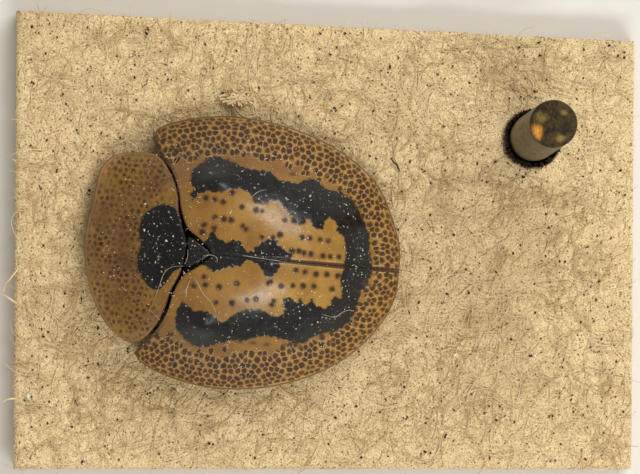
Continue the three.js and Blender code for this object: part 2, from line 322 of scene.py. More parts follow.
def cells(u: Array, v: Array, size: float, seed: int) -> tuple[Array, Array, Array, Array, Array]:
    """Irregular cells on a jittered hexagonal layout.

    Args:
        u: first coordinate of each place.
        v: second coordinate of each place.
        size: spacing of the cells.
        seed: seed of their jitter.

    Returns:
        Distance to the nearest cell's middle, to the second nearest, and that nearest
        cell's own u, v and random number.
    """
    rng = np.random.default_rng(seed)
    jitter = rng.uniform(-0.33, 0.33, (256, 512, 2))
    chance = rng.uniform(0, 1, (256, 512))
    rise = size * 0.87
    row0 = np.round(v / rise).astype(int)
    best = [np.full(u.shape, 9.0), np.full(u.shape, 9.0)]
    own = [np.zeros(u.shape) for _ in range(3)]
    for dr in (-2, -1, 0, 1, 2):
        row = row0 + dr
        shift = np.where(row % 2 == 0, 0.0, 0.5)
        col0 = np.round(u / size - shift).astype(int)
        for dc in (-2, -1, 0, 1, 2):
            col = col0 + dc
            j = jitter[row % 256, col % 512]
            cu, cv = (col + shift + j[..., 0]) * size, (row + j[..., 1]) * rise
            gap = np.hypot(u - cu, v - cv)
            closer = gap < best[0]
            best[1] = np.where(closer, best[0], np.minimum(best[1], gap))
            best[0] = np.where(closer, gap, best[0])
            for slot, value in enumerate((cu, cv, chance[row % 256, col % 512])):
                own[slot] = np.where(closer, value, own[slot])
    return best[0], best[1], *own


def on_back(places_px: Points) -> Array:
    """Pixels of the photograph on the beetle's back, in the beetle's frame.

    Args:
        places_px: pixels of the photograph.

    Returns:
        n by 2 places, in millimetres.
    """
    height = np.zeros(len(places_px))
    for _ in range(3):
        local = STANCE.from_row(PHOTO.to_row(places_px, height))
        height = DOME.height(local[:, 0], local[:, 1])
    return local


# Meshes


def keep_piece(name: str, mesh: bpy.types.Mesh) -> bpy.types.Object:
    """Puts a finished mesh in the scene as a piece that rides with the part.

    Args:
        name: the piece's name.
        mesh: its mesh, in the row's frame.

    Returns:
        The new object.
    """
    piece = bpy.data.objects.new(name, mesh)
    bpy.context.scene.collection.objects.link(piece)
    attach(piece, "root")
    LOG.info("%s: %d faces", name, len(mesh.polygons))
    return piece


def make_piece(name: str, verts: Array, faces: list, material: bpy.types.Material,
               slot: str) -> bpy.types.Object:
    """A smooth-shaded piece that rides with the part.

    Args:
        name: the piece's name.
        verts: n by 3 places in the row's frame, in millimetres.
        faces: vertex numbers of each face.
        material: its finish.
        slot: not used.

    Returns:
        The new object.
    """
    mesh = bpy.data.meshes.new(name)
    mesh.from_pydata((np.asarray(verts) * MM).tolist(), [], faces)
    mesh.polygons.foreach_set("use_smooth", [True] * len(mesh.polygons))
    mesh.materials.append(material)
    mesh.update()
    return keep_piece(name, mesh)


def paint_mask(piece: bpy.types.Object, name: str, values: Array) -> None:
    """Stores one number for each vertex, for the piece's finish to read."""
    layer = piece.data.attributes.new(name, "FLOAT", "POINT")
    layer.data.foreach_set("value", np.asarray(values, np.float32))


def ring_faces(start: int, rings: int, sides: int, flip: bool) -> list:
    """Quads between neighbouring rings of vertices.

    Args:
        start: number of the first ring's first vertex.
        rings: how many rings there are.
        sides: vertices in a ring.
        flip: whether the faces turn the other way.

    Returns:
        The faces, ring by ring.
    """
    faces = []
    for ring in range(rings - 1):
        a = start + ring * sides
        for s in range(sides):
            n = (s + 1) % sides
            quad = (a + s, a + sides + s, a + sides + n, a + n)
            faces.append(quad[::-1] if flip else quad)
    return faces


def end_faces(count: int, sides: int) -> list:
    """The faces that close a stack of rings with that many vertices in all."""
    return [tuple(range(sides)), tuple(range(count - 1, count - sides - 1, -1))]


def tube(path: Array, radii: Array, sides: int) -> tuple[Array, list]:
    """A closed tube along a path.

    Args:
        path: n by 3 places.
        radii: n radii.
        sides: sides of its section.

    Returns:
        Vertices and faces.
    """
    along = np.gradient(path, axis=0)
    along /= np.linalg.norm(along, axis=1)[:, None] + 1e-12
    across = np.cross(along, (0.31, 0.17, 0.94))
    across /= np.linalg.norm(across, axis=1)[:, None] + 1e-12
    up = np.cross(across, along)
    turn = np.linspace(0, 2 * math.pi, sides, endpoint=False)
    ring = across[:, None] * np.cos(turn)[None, :, None] + up[:, None] * np.sin(turn)[None, :, None]
    verts = (path[:, None] + ring * np.asarray(radii)[:, None, None]).reshape(-1, 3)
    return verts, ring_faces(0, len(path), sides, True) + end_faces(len(verts), sides)


def gather(parts: list[tuple[Array, list]]) -> tuple[Array, list]:
    """Joins vertex and face lists into one.

    Args:
        parts: vertices and faces of each shape.

    Returns:
        Vertices and faces of all of them.
    """
    verts, faces, start = [], [], 0
    for v, f in parts:
        verts.append(v)
        faces += [tuple(i + start for i in face) for face in f]
        start += len(v)
    return np.concatenate(verts), faces


# Finishes


def srgb(red: int, green: int, blue: int) -> tuple[float, float, float, float]:
    """A colour as seen on screen, as the linear light that shaders use."""
    lin = [((c / 255 + 0.055) / 1.055) ** 2.4 if c > 10 else c / 255 / 12.92 for c in (red, green, blue)]
    return (*lin, 1.0)


class Recipe:
    """A node material under construction."""

    def __init__(self, name: str) -> None:
        """Starts a material of that name with one Principled shader.

        Args:
            name: the material's name.
        """
        self.material = bpy.data.materials.new(name)
        self.material.use_nodes = True
        self.nodes = self.material.node_tree.nodes
        self.links = self.material.node_tree.links
        self.shader = self.nodes["Principled BSDF"]
        self.place = self.nodes.new("ShaderNodeTexCoord").outputs["Object"]

    def set(self, **sockets: float | tuple) -> None:
        """Sets the shader's own sockets; an underscore stands for a space."""
        for key, value in sockets.items():
            self.shader.inputs[key.replace("_", " ")].default_value = value

    def mask(self, name: str) -> bpy.types.NodeSocket:
        """A number stored on the vertices.

        Args:
            name: the stored number's name.

        Returns:
            The number.
        """
        node = self.nodes.new("ShaderNodeAttribute")
        node.attribute_name = name
        return node.outputs["Fac"]

    def noise(self, per_mm: float, detail: float = 3.0, distortion: float = 0.0,
              upright: float = 1.0) -> bpy.types.NodeSocket:
        """Noise with about that many features in a millimetre, and upright times as many along z.

        Args:
            per_mm: features in a millimetre.
            detail: how many finer layers it has.
            distortion: how much it is swirled.
            upright: how much finer it is along z.

        Returns:
            The noise, mostly between 0.3 and 0.7.
        """
        node = self.nodes.new("ShaderNodeTexNoise")
        node.inputs["Scale"].default_value = per_mm / MM
        node.inputs["Detail"].default_value = detail
        node.inputs["Distortion"].default_value = distortion
        squeeze = self.nodes.new("ShaderNodeVectorMath")
        squeeze.operation = "MULTIPLY"
        squeeze.inputs[1].default_value = (1, 1, upright)
        self.links.new(self.place, squeeze.inputs[0])
        self.links.new(squeeze.outputs["Vector"], node.inputs["Vector"])
        return node.outputs["Fac"]

    def spots(self, per_mm: float, feature: str = "F1") -> bpy.types.NodeSocket:
        """Distance to scattered points, that many in a millimetre.

        Args:
            per_mm: points in a millimetre.

        Returns:
            The distance, as a share of their spacing.
        """
        node = self.nodes.new("ShaderNodeTexVoronoi")
        node.feature = feature
        node.inputs["Scale"].default_value = per_mm / MM
        self.links.new(self.place, node.inputs["Vector"])
        return node.outputs["Distance"]

    def specks(self, per_mm: float, small: float, large: float) -> bpy.types.NodeSocket:
        """One on scattered ragged specks, with radii between two shares of their spacing."""
        ragged = self.range(self.noise(per_mm * 0.7, 2.0), 0.35, 0.65, -large, 0.0)
        return self.range(self.math("ADD", self.spots(per_mm), ragged), -small, small, 1, 0)

    def range(self, value: bpy.types.NodeSocket, low: float, high: float, a: float,
              b: float) -> bpy.types.NodeSocket:
        """Maps a value from low..high to a..b, clamped.

        Args:
            value: the number to map.
            low: where it starts to rise.
            high: where it ends.
            a: the result at low.
            b: the result at high.

        Returns:
            The mapped value.
        """
        node = self.nodes.new("ShaderNodeMapRange")
        node.interpolation_type = "SMOOTHSTEP"
        self.links.new(value, node.inputs["Value"])
        for key, number in (("From Min", low), ("From Max", high), ("To Min", a), ("To Max", b)):
            node.inputs[key].default_value = number
        return node.outputs["Result"]

    def mix(self, factor: bpy.types.NodeSocket, a: object, b: object) -> bpy.types.NodeSocket:
        """Mixes two colours, each a socket or an RGBA tuple.

        Args:
            factor: how much of the second colour shows.
            a: the first colour.
            b: the second colour.

        Returns:
            The mixed colour.
        """
        node = self.nodes.new("ShaderNodeMix")
        node.data_type = "RGBA"
        self.links.new(factor, node.inputs["Factor"])
        for key, value in (("A", a), ("B", b)):
            socket = next(s for s in node.inputs if s.name == key and s.type == "RGBA")
            if isinstance(value, tuple):
                socket.default_value = value
            else:
                self.links.new(value, socket)
        return next(s for s in node.outputs if s.type == "RGBA")

    def math(self, kind: str, a: bpy.types.NodeSocket, b: object) -> bpy.types.NodeSocket:
        """Joins two values by a plain sum, product or the like.

        Args:
            kind: the operation's name.
            a: the first value.
            b: a number or the second value.

        Returns:
            The result.
        """
        node = self.nodes.new("ShaderNodeMath")
        node.operation = kind
        self.links.new(a, node.inputs[0])
        if isinstance(b, (int, float)):
            node.inputs[1].default_value = b
        else:
            self.links.new(b, node.inputs[1])
        return node.outputs[0]

    def bump(self, height: bpy.types.NodeSocket, depth: float, strength: float = 1.0) -> None:
        """Raises the surface's shading by a height, with depth in millimetres.

        Args:
            height: the height, from 0 to 1.
            depth: how deep it reaches, in millimetres.
            strength: how much of it is used.
        """
        node = self.nodes.new("ShaderNodeBump")
        node.inputs["Strength"].default_value = strength
        node.inputs["Distance"].default_value = depth * MM
        self.links.new(height, node.inputs["Height"])
        self.links.new(node.outputs["Normal"], self.shader.inputs["Normal"])

    def colour(self, socket: bpy.types.NodeSocket) -> None:
        """Sends a colour to the shader."""
        self.links.new(socket, self.shader.inputs["Base Color"])

    def rough(self, socket: bpy.types.NodeSocket) -> None:
        """Sends a roughness to the shader."""
        self.links.new(socket, self.shader.inputs["Roughness"])


@dataclass(frozen=True)
class ShellFinish:
    """Glossy chitin: ochre ground, brown cells and pits, black bands, red-brown seams."""

    name: str
    ground: tuple = srgb(180, 138, 60)
    ground_deep: tuple = srgb(144, 104, 40)
    wall: tuple = srgb(192, 150, 90)
    cream: tuple = srgb(220, 186, 142)
    cell: tuple = srgb(50, 27, 8)
    pit: tuple = srgb(40, 22, 8)
    black: tuple = srgb(15, 13, 12)
    dust: tuple = srgb(196, 190, 172)
    seam: tuple = srgb(66, 36, 17)
    stain: tuple = srgb(118, 76, 28)
    roughness: float = 0.3
    gloss: float = 0.36
    coat: float = 0.12

    def build(self) -> bpy.types.Material:
        """The finished material.

        Returns:
            The material.
        """
        r = Recipe(self.name)
        ground = r.mix(r.range(r.noise(1.6, 4.0, 0.4), 0.35, 0.68, 0, 1), self.ground, self.ground_deep)
        ground = r.mix(r.mask("stain"), ground, self.stain)
        ground = r.mix(r.range(r.noise(18, 5.0), 0.38, 0.7, 0.0, 0.45), ground, self.ground_deep)
        for mask, colour in (("wall", self.wall), ("cream", self.cream)):
            ground = r.mix(r.mask(mask), ground, colour)
        fine = r.range(r.noise(24, 3.0), 0.3, 0.7, 0.9, 1.0)
        ground = r.mix(r.math("MULTIPLY", r.mask("cell"), fine), ground, self.cell)
        for mask, colour in (("pit", self.pit), ("seam", self.seam), ("band", self.black)):
            ground = r.mix(r.mask(mask), ground, colour)
        dusty = r.math("MULTIPLY", r.specks(11, 0.03, 0.2), r.range(r.mask("band"), 0, 1, 0.14, 0.45))
        ground = r.mix(dusty, ground, self.dust)
        film = r.math("MULTIPLY", r.range(r.noise(7, 6.0, 0.8), 0.55, 0.8, 0, 0.05), r.mask("band"))
        ground = r.mix(film, ground, self.dust)
        r.colour(ground)
        scuffed = r.range(r.noise(9, 4.0), 0.3, 0.7, self.roughness * 0.8, self.roughness * 1.35)
        dull = r.math("MAXIMUM", r.math("MULTIPLY", dusty, 0.4), r.math("MULTIPLY", r.mask("pit"), 0.4))
        r.rough(r.math("ADD", scuffed, r.math("MAXIMUM", dull, r.math("MULTIPLY", r.mask("cell"), 0.25))))
        r.set(Specular_IOR_Level=self.gloss, Coat_Weight=self.coat, Coat_Roughness=0.2)
        r.bump(r.noise(34, 4.0), 0.004, 0.7)
        return r.material


WING_CASE = ShellFinish("wing_case_chitin")
SHIELD = ShellFinish("shield_chitin", ground=srgb(152, 112, 42), ground_deep=srgb(120, 82, 28),
                     wall=srgb(172, 126, 60), cell=srgb(44, 26, 9), stain=srgb(94, 54, 20),
                     seam=srgb(86, 58, 48), roughness=0.42, gloss=0.26, coat=0.06)


@dataclass(frozen=True)
class CardFinish:
    """Felted cream-tan card with brown stains, dark specks and painted shade in the pin hole."""

    name: str = "felted_card"
    pale: tuple = srgb(243, 219, 170)
    tan: tuple = srgb(208, 179, 131)
    brown: tuple = srgb(150, 116, 74)
    fleck: tuple = srgb(104, 78, 46)
    speck: tuple = srgb(46, 34, 24)
    # Painted shade of the open pin hole.
    hole: tuple = srgb(20, 15, 12)

    def build(self) -> bpy.types.Material:
        """The finished material.

        Returns:
            The material.
        """
        r = Recipe(self.name)
        weave = r.math("ADD", r.range(r.noise(42, 5.0, 0.5), 0.3, 0.7, 0, 0.8),
                       r.range(r.noise(5, 4.0), 0.3, 0.7, 0, 0.2))
        base = r.mix(r.range(weave, 0.2, 0.8, 0, 1), self.tan, self.pale)
        base = r.mix(r.range(r.noise(0.5, 3.0), 0.5, 0.8, 0, 0.3), base, self.brown)
        base = r.mix(r.range(r.noise(2.4, 5.0), 0.58, 0.75, 0, 0.2), base, self.brown)
        for colour, per_mm, small, large, share in ((self.speck, 9, 0.03, 0.15, 0.8),
                                                    (self.fleck, 16, 0.05, 0.3, 0.7),
                                                    (self.fleck, 27, 0.07, 0.36, 0.6)):
            base = r.mix(r.range(r.specks(per_mm, small, large), 0, 1, 0, share), base, colour)
        base = r.mix(r.mask("stain"), base, self.brown)
        # Painted shade: the hole's lip and bore are near black, as the open hole is dark.
        base = r.mix(r.mask("hole_shade"), base, self.hole)
        r.colour(base)
        r.set(Roughness=0.95, Specular_IOR_Level=0.1)
        r.bump(r.noise(30, 6.0, 0.3), 0.03, 1.0)
        return r.material


@dataclass(frozen=True)
class PinFinish:
    """Tarnished wire: scratched grey-olive sides, an end painted darker as shade, and painted reflections of
    the lamps on that end.
    """

    name: str = "tarnished_pin"
    side: tuple = srgb(134, 120, 90)
    side_dark: tuple = srgb(70, 60, 44)
    # Painted shade: the end is coloured darker than the sides.
    end: tuple = srgb(70, 56, 28)
    end_dark: tuple = srgb(40, 32, 18)
    # Painted reflections of the lamps: olive and orange glints on the end.
    olive: tuple = srgb(150, 128, 66)
    orange_glint: tuple = srgb(226, 158, 66)

    def build(self) -> bpy.types.Material:
        """The finished material.

        Returns:
            The material.
        """
        r = Recipe(self.name)
        side = r.mix(r.range(r.noise(3, 8.0, 0.6), 0.3, 0.7, 0.25, 0.9), self.side_dark, self.side)
        side = r.mix(r.range(r.noise(26, 5.0), 0.42, 0.62, 0, 0.75), side, self.side_dark)
        side = r.mix(r.range(r.noise(3, 5.0, 0.2, 5.0), 0.44, 0.6, 0, 0.55), side, self.side_dark)
        side = r.mix(r.range(r.specks(14, 0.05, 0.3), 0, 1, 0, 0.8), side, self.side)
        # The end takes painted shade, then patches of painted reflection.
        end = r.mix(r.range(r.noise(7, 3.0, 0.4), 0.4, 0.65, 0, 1), self.end, self.end_dark)
        end = r.mix(r.mask("olive"), end, self.olive)
        end = r.mix(r.mask("orange_glint"), end, self.orange_glint)
        r.colour(r.mix(r.mask("end"), side, end))
        r.set(Metallic=0.6, Specular_IOR_Level=0.4)
        r.rough(r.range(r.noise(12, 4.0), 0.3, 0.7, 0.36, 0.62))
        r.bump(r.noise(26, 6.0), 0.028, 1.0)
        return r.material


@dataclass(frozen=True)
class PlainFinish:
    """One colour broken up by two scales of noise, with a fine bump."""

    name: str
    light: tuple
    dark: tuple
    roughness: float
    per_mm: float = 4.0
    bump: float = 0.006

    def build(self) -> bpy.types.Material:
        """The finished material.

        Returns:
            The material.
        """
        r = Recipe(self.name)
        patch = r.math("ADD", r.noise(self.per_mm, 4.0, 0.5),
                       r.range(r.noise(self.per_mm * 5, 3.0), 0, 1, -0.12, 0.12))
        r.colour(r.mix(r.range(patch, 0.36, 0.66, 0, 1), self.dark, self.light))
        r.set(Specular_IOR_Level=0.4)
        r.rough(r.range(patch, 0.3, 0.7, self.roughness * 0.85, min(1.0, self.roughness * 1.2)))
        r.bump(r.noise(self.per_mm * 7, 4.0), self.bump, 0.8)
        return r.material


GUM = PlainFinish("dried_gum", srgb(196, 152, 84), srgb(150, 104, 50), 0.25)
UNDERSIDE = PlainFinish("dark_chitin", srgb(74, 46, 28), srgb(34, 22, 15), 0.3)
LIMB = PlainFinish("limb_chitin", srgb(168, 118, 62), srgb(120, 76, 36), 0.35)
EYE = PlainFinish("eye_black", srgb(34, 28, 26), srgb(14, 12, 12), 0.2, per_mm=30.0, bump=0.01)
DUST = PlainFinish("pale_dust", srgb(238, 232, 212), srgb(196, 184, 156), 0.85, per_mm=20.0)
HAIR = PlainFinish("pale_hair", srgb(196, 188, 168), srgb(146, 134, 112), 0.5)
FIBRE = PlainFinish("card_fibre", srgb(240, 220, 178), srgb(206, 178, 128), 0.9, per_mm=1.5)
# Dark grit; the same finish colours the painted shadow under the lint tuft.
GRIT_AND_SHADOW = PlainFinish("dark_grit_and_shadow", srgb(64, 46, 30), srgb(28, 20, 14), 0.8, per_mm=8.0)


# The back: elytra, pronotum and scutellum


@dataclass
class BackPlate:
    """One plate of the back, in rings about a point within its edge."""

    name: str
    slot: str
    middle: tuple[float, float]
    rings: int
    lift: float = 0.0
    edge_roll: float = 0.045
    floor_rings: int = 6
    innermost: float = 0.004
    under_stain: float = 0.8

    def outline(self) -> Array:
        """The plate's edge, anticlockwise from above."""
        raise NotImplementedError

    def relief(self, places: Array, edge_gap: Array) -> tuple[Array, dict[str, Array]]:
        """Height added at places and the masks for its finish."""
        raise NotImplementedError

    def roll_share(self, places: Array) -> Array:
        """How much of the edge's roll each place takes."""
        return np.ones(len(places))

    def build(self, material: bpy.types.Material) -> bpy.types.Object:
        """Makes the plate as one closed shell.

        Args:
            material: the plate's finish.

        Returns:
            The piece, with its masks stored on its vertices.
        """
        edge = self.outline()
        sides = len(edge)
        middle = np.array(self.middle)
        spread = np.linspace(self.innermost, 1, self.rings) ** 0.8
        flat = (middle + spread[:, None, None] * (edge - middle)).reshape(-1, 2)
        gap, _ = nearest(flat, np.concatenate([edge, edge[:1]]))
        added, masks = self.relief(flat, gap)
        roll = np.clip(1 - gap / self.edge_roll, 0, 1)
        top = DOME.height(flat[:, 0], flat[:, 1]) + self.lift + added
        top -= self.edge_roll * (1 - np.sqrt(1 - 0.94 * roll**2)) * self.roll_share(flat)
        inward = np.linspace(1, self.innermost, self.floor_rings)
        under = (middle + inward[:, None, None] * (edge - middle)).reshape(-1, 2)
        low = DOME.underside(under[:, 0], under[:, 1]) + self.lift
        verts = np.concatenate([np.column_stack([flat, top]), np.column_stack([under, low])])
        faces = ring_faces(0, self.rings + self.floor_rings, sides, False) + end_faces(len(verts), sides)
        piece = make_piece(self.name, STANCE.to_row(verts), faces, material, self.slot)
        for key, values in masks.items():
            below = self.under_stain if key == "stain" else 0.0
            paint_mask(piece, key, np.concatenate([values, np.full(len(under), below)]))
        return piece


@dataclass
class Elytron(BackPlate):
    """One wing case: ochre disc, black band, cells along the margin."""

    side: Side = Side.LEFT
    gap: float = 0.003
    suture_front: float = 0.42
    apex: float = -2.375
    base_edge: Points = field(default_factory=lambda: [
        (0.62, 0.2), (0.83, 0.36), (0.95, 0.62), (1.02, 0.9), (1.14, 1.15), (1.36, 1.42)])
    margin: Points = field(default_factory=list)
    cell_size: float = 0.11
    corner_lead: float = 0.9
    callus: tuple[float, float] = (0.485, 1.1)
    callus_reach: tuple[float, float] = (0.19, 0.16)
    callus_height: float = 0.08
    rim_line: tuple[float, float] = (0.036, 0.007)
    rim_rise: float = 0.006
    rim_points: int = 470
    base_points: int = 130
    suture_points: int = 200
    undulation: float = 0.016
    band_rise: float = 0.006
    band_scallop: float = 0.088
    row_spacing: float = 0.16
    cell_depth: float = 0.009
    cell_core: tuple[float, float] = (0.036, 0.014)
    pit_depth: float = 0.001
    stripe_half: float = 0.033
    stripe_depth: float = 0.012
    pit_radii: tuple[float, float] = (0.036, 0.05)
    zone_run: tuple[float, ...] = (-0.9, -0.3, 0, 0.5, 2.2, 3.4, 4.6, 5.4)
    zone_depth: tuple[float, ...] = (0.3, 0.5, 0.56, 0.62, 0.58, 0.47, 0.42, 0.38)

    def outline(self) -> Array:
        """The edge: base, margin and suture, anticlockwise from above.

        Returns:
            Places round the edge.
        """
        front = (self.suture_front, self.gap)
        base = smooth_path([front, *self.base_edge, self.margin[0]], self.base_points, False)
        round_edge = smooth_path([*self.margin, (self.apex, self.gap)], self.rim_points, False)
        run = np.linspace(self.apex, self.suture_front, self.suture_points)
        suture = np.column_stack([run, np.full(len(run), self.gap)])
        loop = np.concatenate([base[:-1], round_edge[:-1], suture[:-1]])
        return loop if self.side is Side.LEFT else (loop * (1, -1))[::-1]

    def roll_share(self, places: Array) -> Array:
        """The suture's edge stays flat, so that the two wing cases meet."""
        return step(np.abs(places[:, 1]), 0.02, 0.09)

    def relief(self, places: Array, edge_gap: Array) -> tuple[Array, dict[str, Array]]:
        """Pits, cells, band and seam.

        Args:
            places: n by 2 places in the beetle's frame.
            edge_gap: not used.

        Returns:
            Height at each place, and one mask for each of the finish's names.
        """
        x, y = places[:, 0], places[:, 1] * self.side.value
        folded = np.column_stack([x, y])
        depth, _ = nearest(folded, smooth_path([*self.margin, (self.apex, self.gap)], 500, False))
        band = self._band(places)
        cell, wall = self._margin_cells(x, y, band)
        pit, halo = self._pits(places)
        pit *= 1 - cell
        stripe, stripe_edge = self._suture_stripe(x, y)
        rear = step(-x, -0.9, 0.0) * step(x, -2.3, -1.7)
        rim_line = ridge(depth, *self.rim_line) * (0.1 + 0.6 * rear)
        dark_rim = step(-depth, -0.03, -0.014)
        base_gap, _ = nearest(folded, smooth_path([*self.base_edge, self.margin[0]], 160, False))
        shoulder = step(-base_gap, -0.07, -0.03) * step(y, 0.95, 1.3)
        from_callus = (folded - self.callus) / self.callus_reach
        callus = np.exp(-(from_callus[:, 0] ** 2 + from_callus[:, 1] ** 2))
        rows = self._black_rows(x, y) * band
        added = self.callus_height * callus + self.undulation * wander(places, 2.2, 3.0)
        added += self.band_rise * band
        added -= self.cell_depth * cell + self.pit_depth * pit
        added += self.rim_rise * rim_line - 0.003 * rows + self.stripe_depth * (stripe_edge - stripe)
        added -= 0.02 * step(-depth, -0.02, 0.0)
        blotch = step(wander(places, 3.4, 9.0), 0.0, 0.6)
        masks = {
            "band": band, "cell": np.clip(cell, 0, 1),
            "pit": np.maximum(pit, 0.8 * step(-y, -0.013, -0.006)),
            "wall": np.clip(0.8 * wall, 0, 1),
            "cream": np.clip(0.8 * rim_line + 0.3 * stripe_edge * (1 - band), 0, 1),
            "seam": np.clip(np.maximum(stripe * 0.9, np.maximum(dark_rim * 0.55, shoulder * 0.85)), 0, 1),
            # Besides the blotches, the stain mask darkens the front of each wing case, towards the head.
            "stain": np.clip(0.2 * blotch + 0.5 * step(-depth, -0.95, -0.5) + 0.45 * halo + 0.16
                             + 0.42 * step(x, -0.6, 0.6), 0, 0.85),
        }
        return added, masks

    def _band(self, places: Array) -> Array:
        """One on the black markings, with slightly ragged edges.

        Args:
            places: n by 2 places in the beetle's frame.

        Returns:
            A share for each place.
        """
        near, *_ = cells(places[:, 0], places[:, 1], self.band_scallop, SEED + 11)
        ragged = 0.014 * wander(places, 11.0, 5.0) + 0.005 * wander(places, 34.0, 8.0)
        ragged += 0.03 * step(-near, -0.046, -0.012) - 0.012
        loops = [BAND_RIGHT_PX if self.side is Side.RIGHT else BAND_LEFT_PX, SUTURE_PATCH_PX]
        depth = np.max([inside(places, smooth_path(on_back(loop), LOOP_POINTS, True)) for loop in loops],
                       axis=0)
        return step(depth + ragged, -0.012, 0.014)

    def _pits(self, places: Array) -> tuple[Array, Array]:
        """Brown pits of uneven size and shape on the ochre disc, and the stain round them.

        Args:
            places: n by 2 places in the beetle's frame.

        Returns:
            The share of pit and of stain at each place.
        """
        pits = on_back(PITS_PX)
        size = np.random.default_rng(SEED).uniform(*self.pit_radii, len(pits))
        gap = np.linalg.norm(places[:, None] - pits[None], axis=2)
        ragged = 0.012 * wander(places, 26.0, 4.0)
        depth = (size[None] - gap).max(1)
        round_pits = step(depth + ragged, -0.014, 0.022) * 0.95
        smudges = on_back(SMUDGES_PX)
        away = places[:, None] - smudges[None]
        long_gap = np.hypot(away[..., 0] * 0.5, away[..., 1]).min(1)
        long_pits = 0.6 * step(-long_gap + ragged, -0.045, -0.01)
        return np.maximum(round_pits, long_pits), step(depth, -0.035, 0.0)

    def _suture_stripe(self, x: Array, y: Array) -> tuple[Array, Array]:
        """The dark flat stripe along the suture and the raised pale lines beside it.

        Args:
            x: places along the beetle.
            y: their distances from its middle line.

        Returns:
            The share of stripe and of raised line at each place.
        """
        half = self.stripe_half + 0.006 * np.sin(3 * x)
        stripe = step(-y, -half - 0.008, -half + 0.006)
        edge = ridge(y - half, 0.014, 0.009) * step(-x, 0.3, 0.7)
        return stripe, edge

    def _margin_cells(self, x: Array, y: Array, band: Array) -> tuple[Array, Array]:
        """Brown cells of the margin and the pale net between them.

        Args:
            x: places along the beetle.
            y: their distances from its middle line.
            band: the share of black at each place.

        Returns:
            The share of cell and of net at each place.
        """
        start, after = np.array(self.margin[0]), np.array(self.margin[1])
        lead = start + self.corner_lead * (start - after) / np.linalg.norm(start - after)
        rim = smooth_path([tuple(lead), *self.margin, (self.apex, self.gap)], 600, False)
        depth, along = nearest(np.column_stack([x, y]), rim)
        rows = depth + 0.12 * (1 - np.exp(-depth / 0.12))
        warp = 0.014 * np.column_stack([wander(np.column_stack([along, depth]), 9.0, k) for k in (1.0, 7.0)])
        near, second, _, own_rows, luck = cells(
            along + warp[:, 0], rows + warp[:, 1], self.cell_size, SEED + self.side.value)
        own_depth = own_rows * depth / np.maximum(rows, 1e-6)
        zone = np.interp(along - self.corner_lead, self.zone_run, self.zone_depth)
        present = (own_depth < zone + (luck - 0.5) * 0.16) & (own_depth > 0.035)
        ragged = 0.01 * wander(np.column_stack([x, y]), 38.0, 2.0)
        core = self.cell_core[0] + self.cell_core[1] * luck
        body = step(core - near + ragged, -0.012, 0.006) * step(second - near, 0.002, 0.018)
        tone = (0.88 + 0.12 * luck) * (0.84 + 0.16 * step(own_depth, 0.05, 0.2))
        net = step(near - second, -0.02, -0.004)
        return body * present * tone * (1 - band), present * net * (1 - band)

    def _black_rows(self, x: Array, y: Array) -> Array:
        """Faint rows of pits in the black band."""
        near, *_ = cells(x, y, self.row_spacing, SEED + 7)
        return step(-near, -0.036, -0.01)


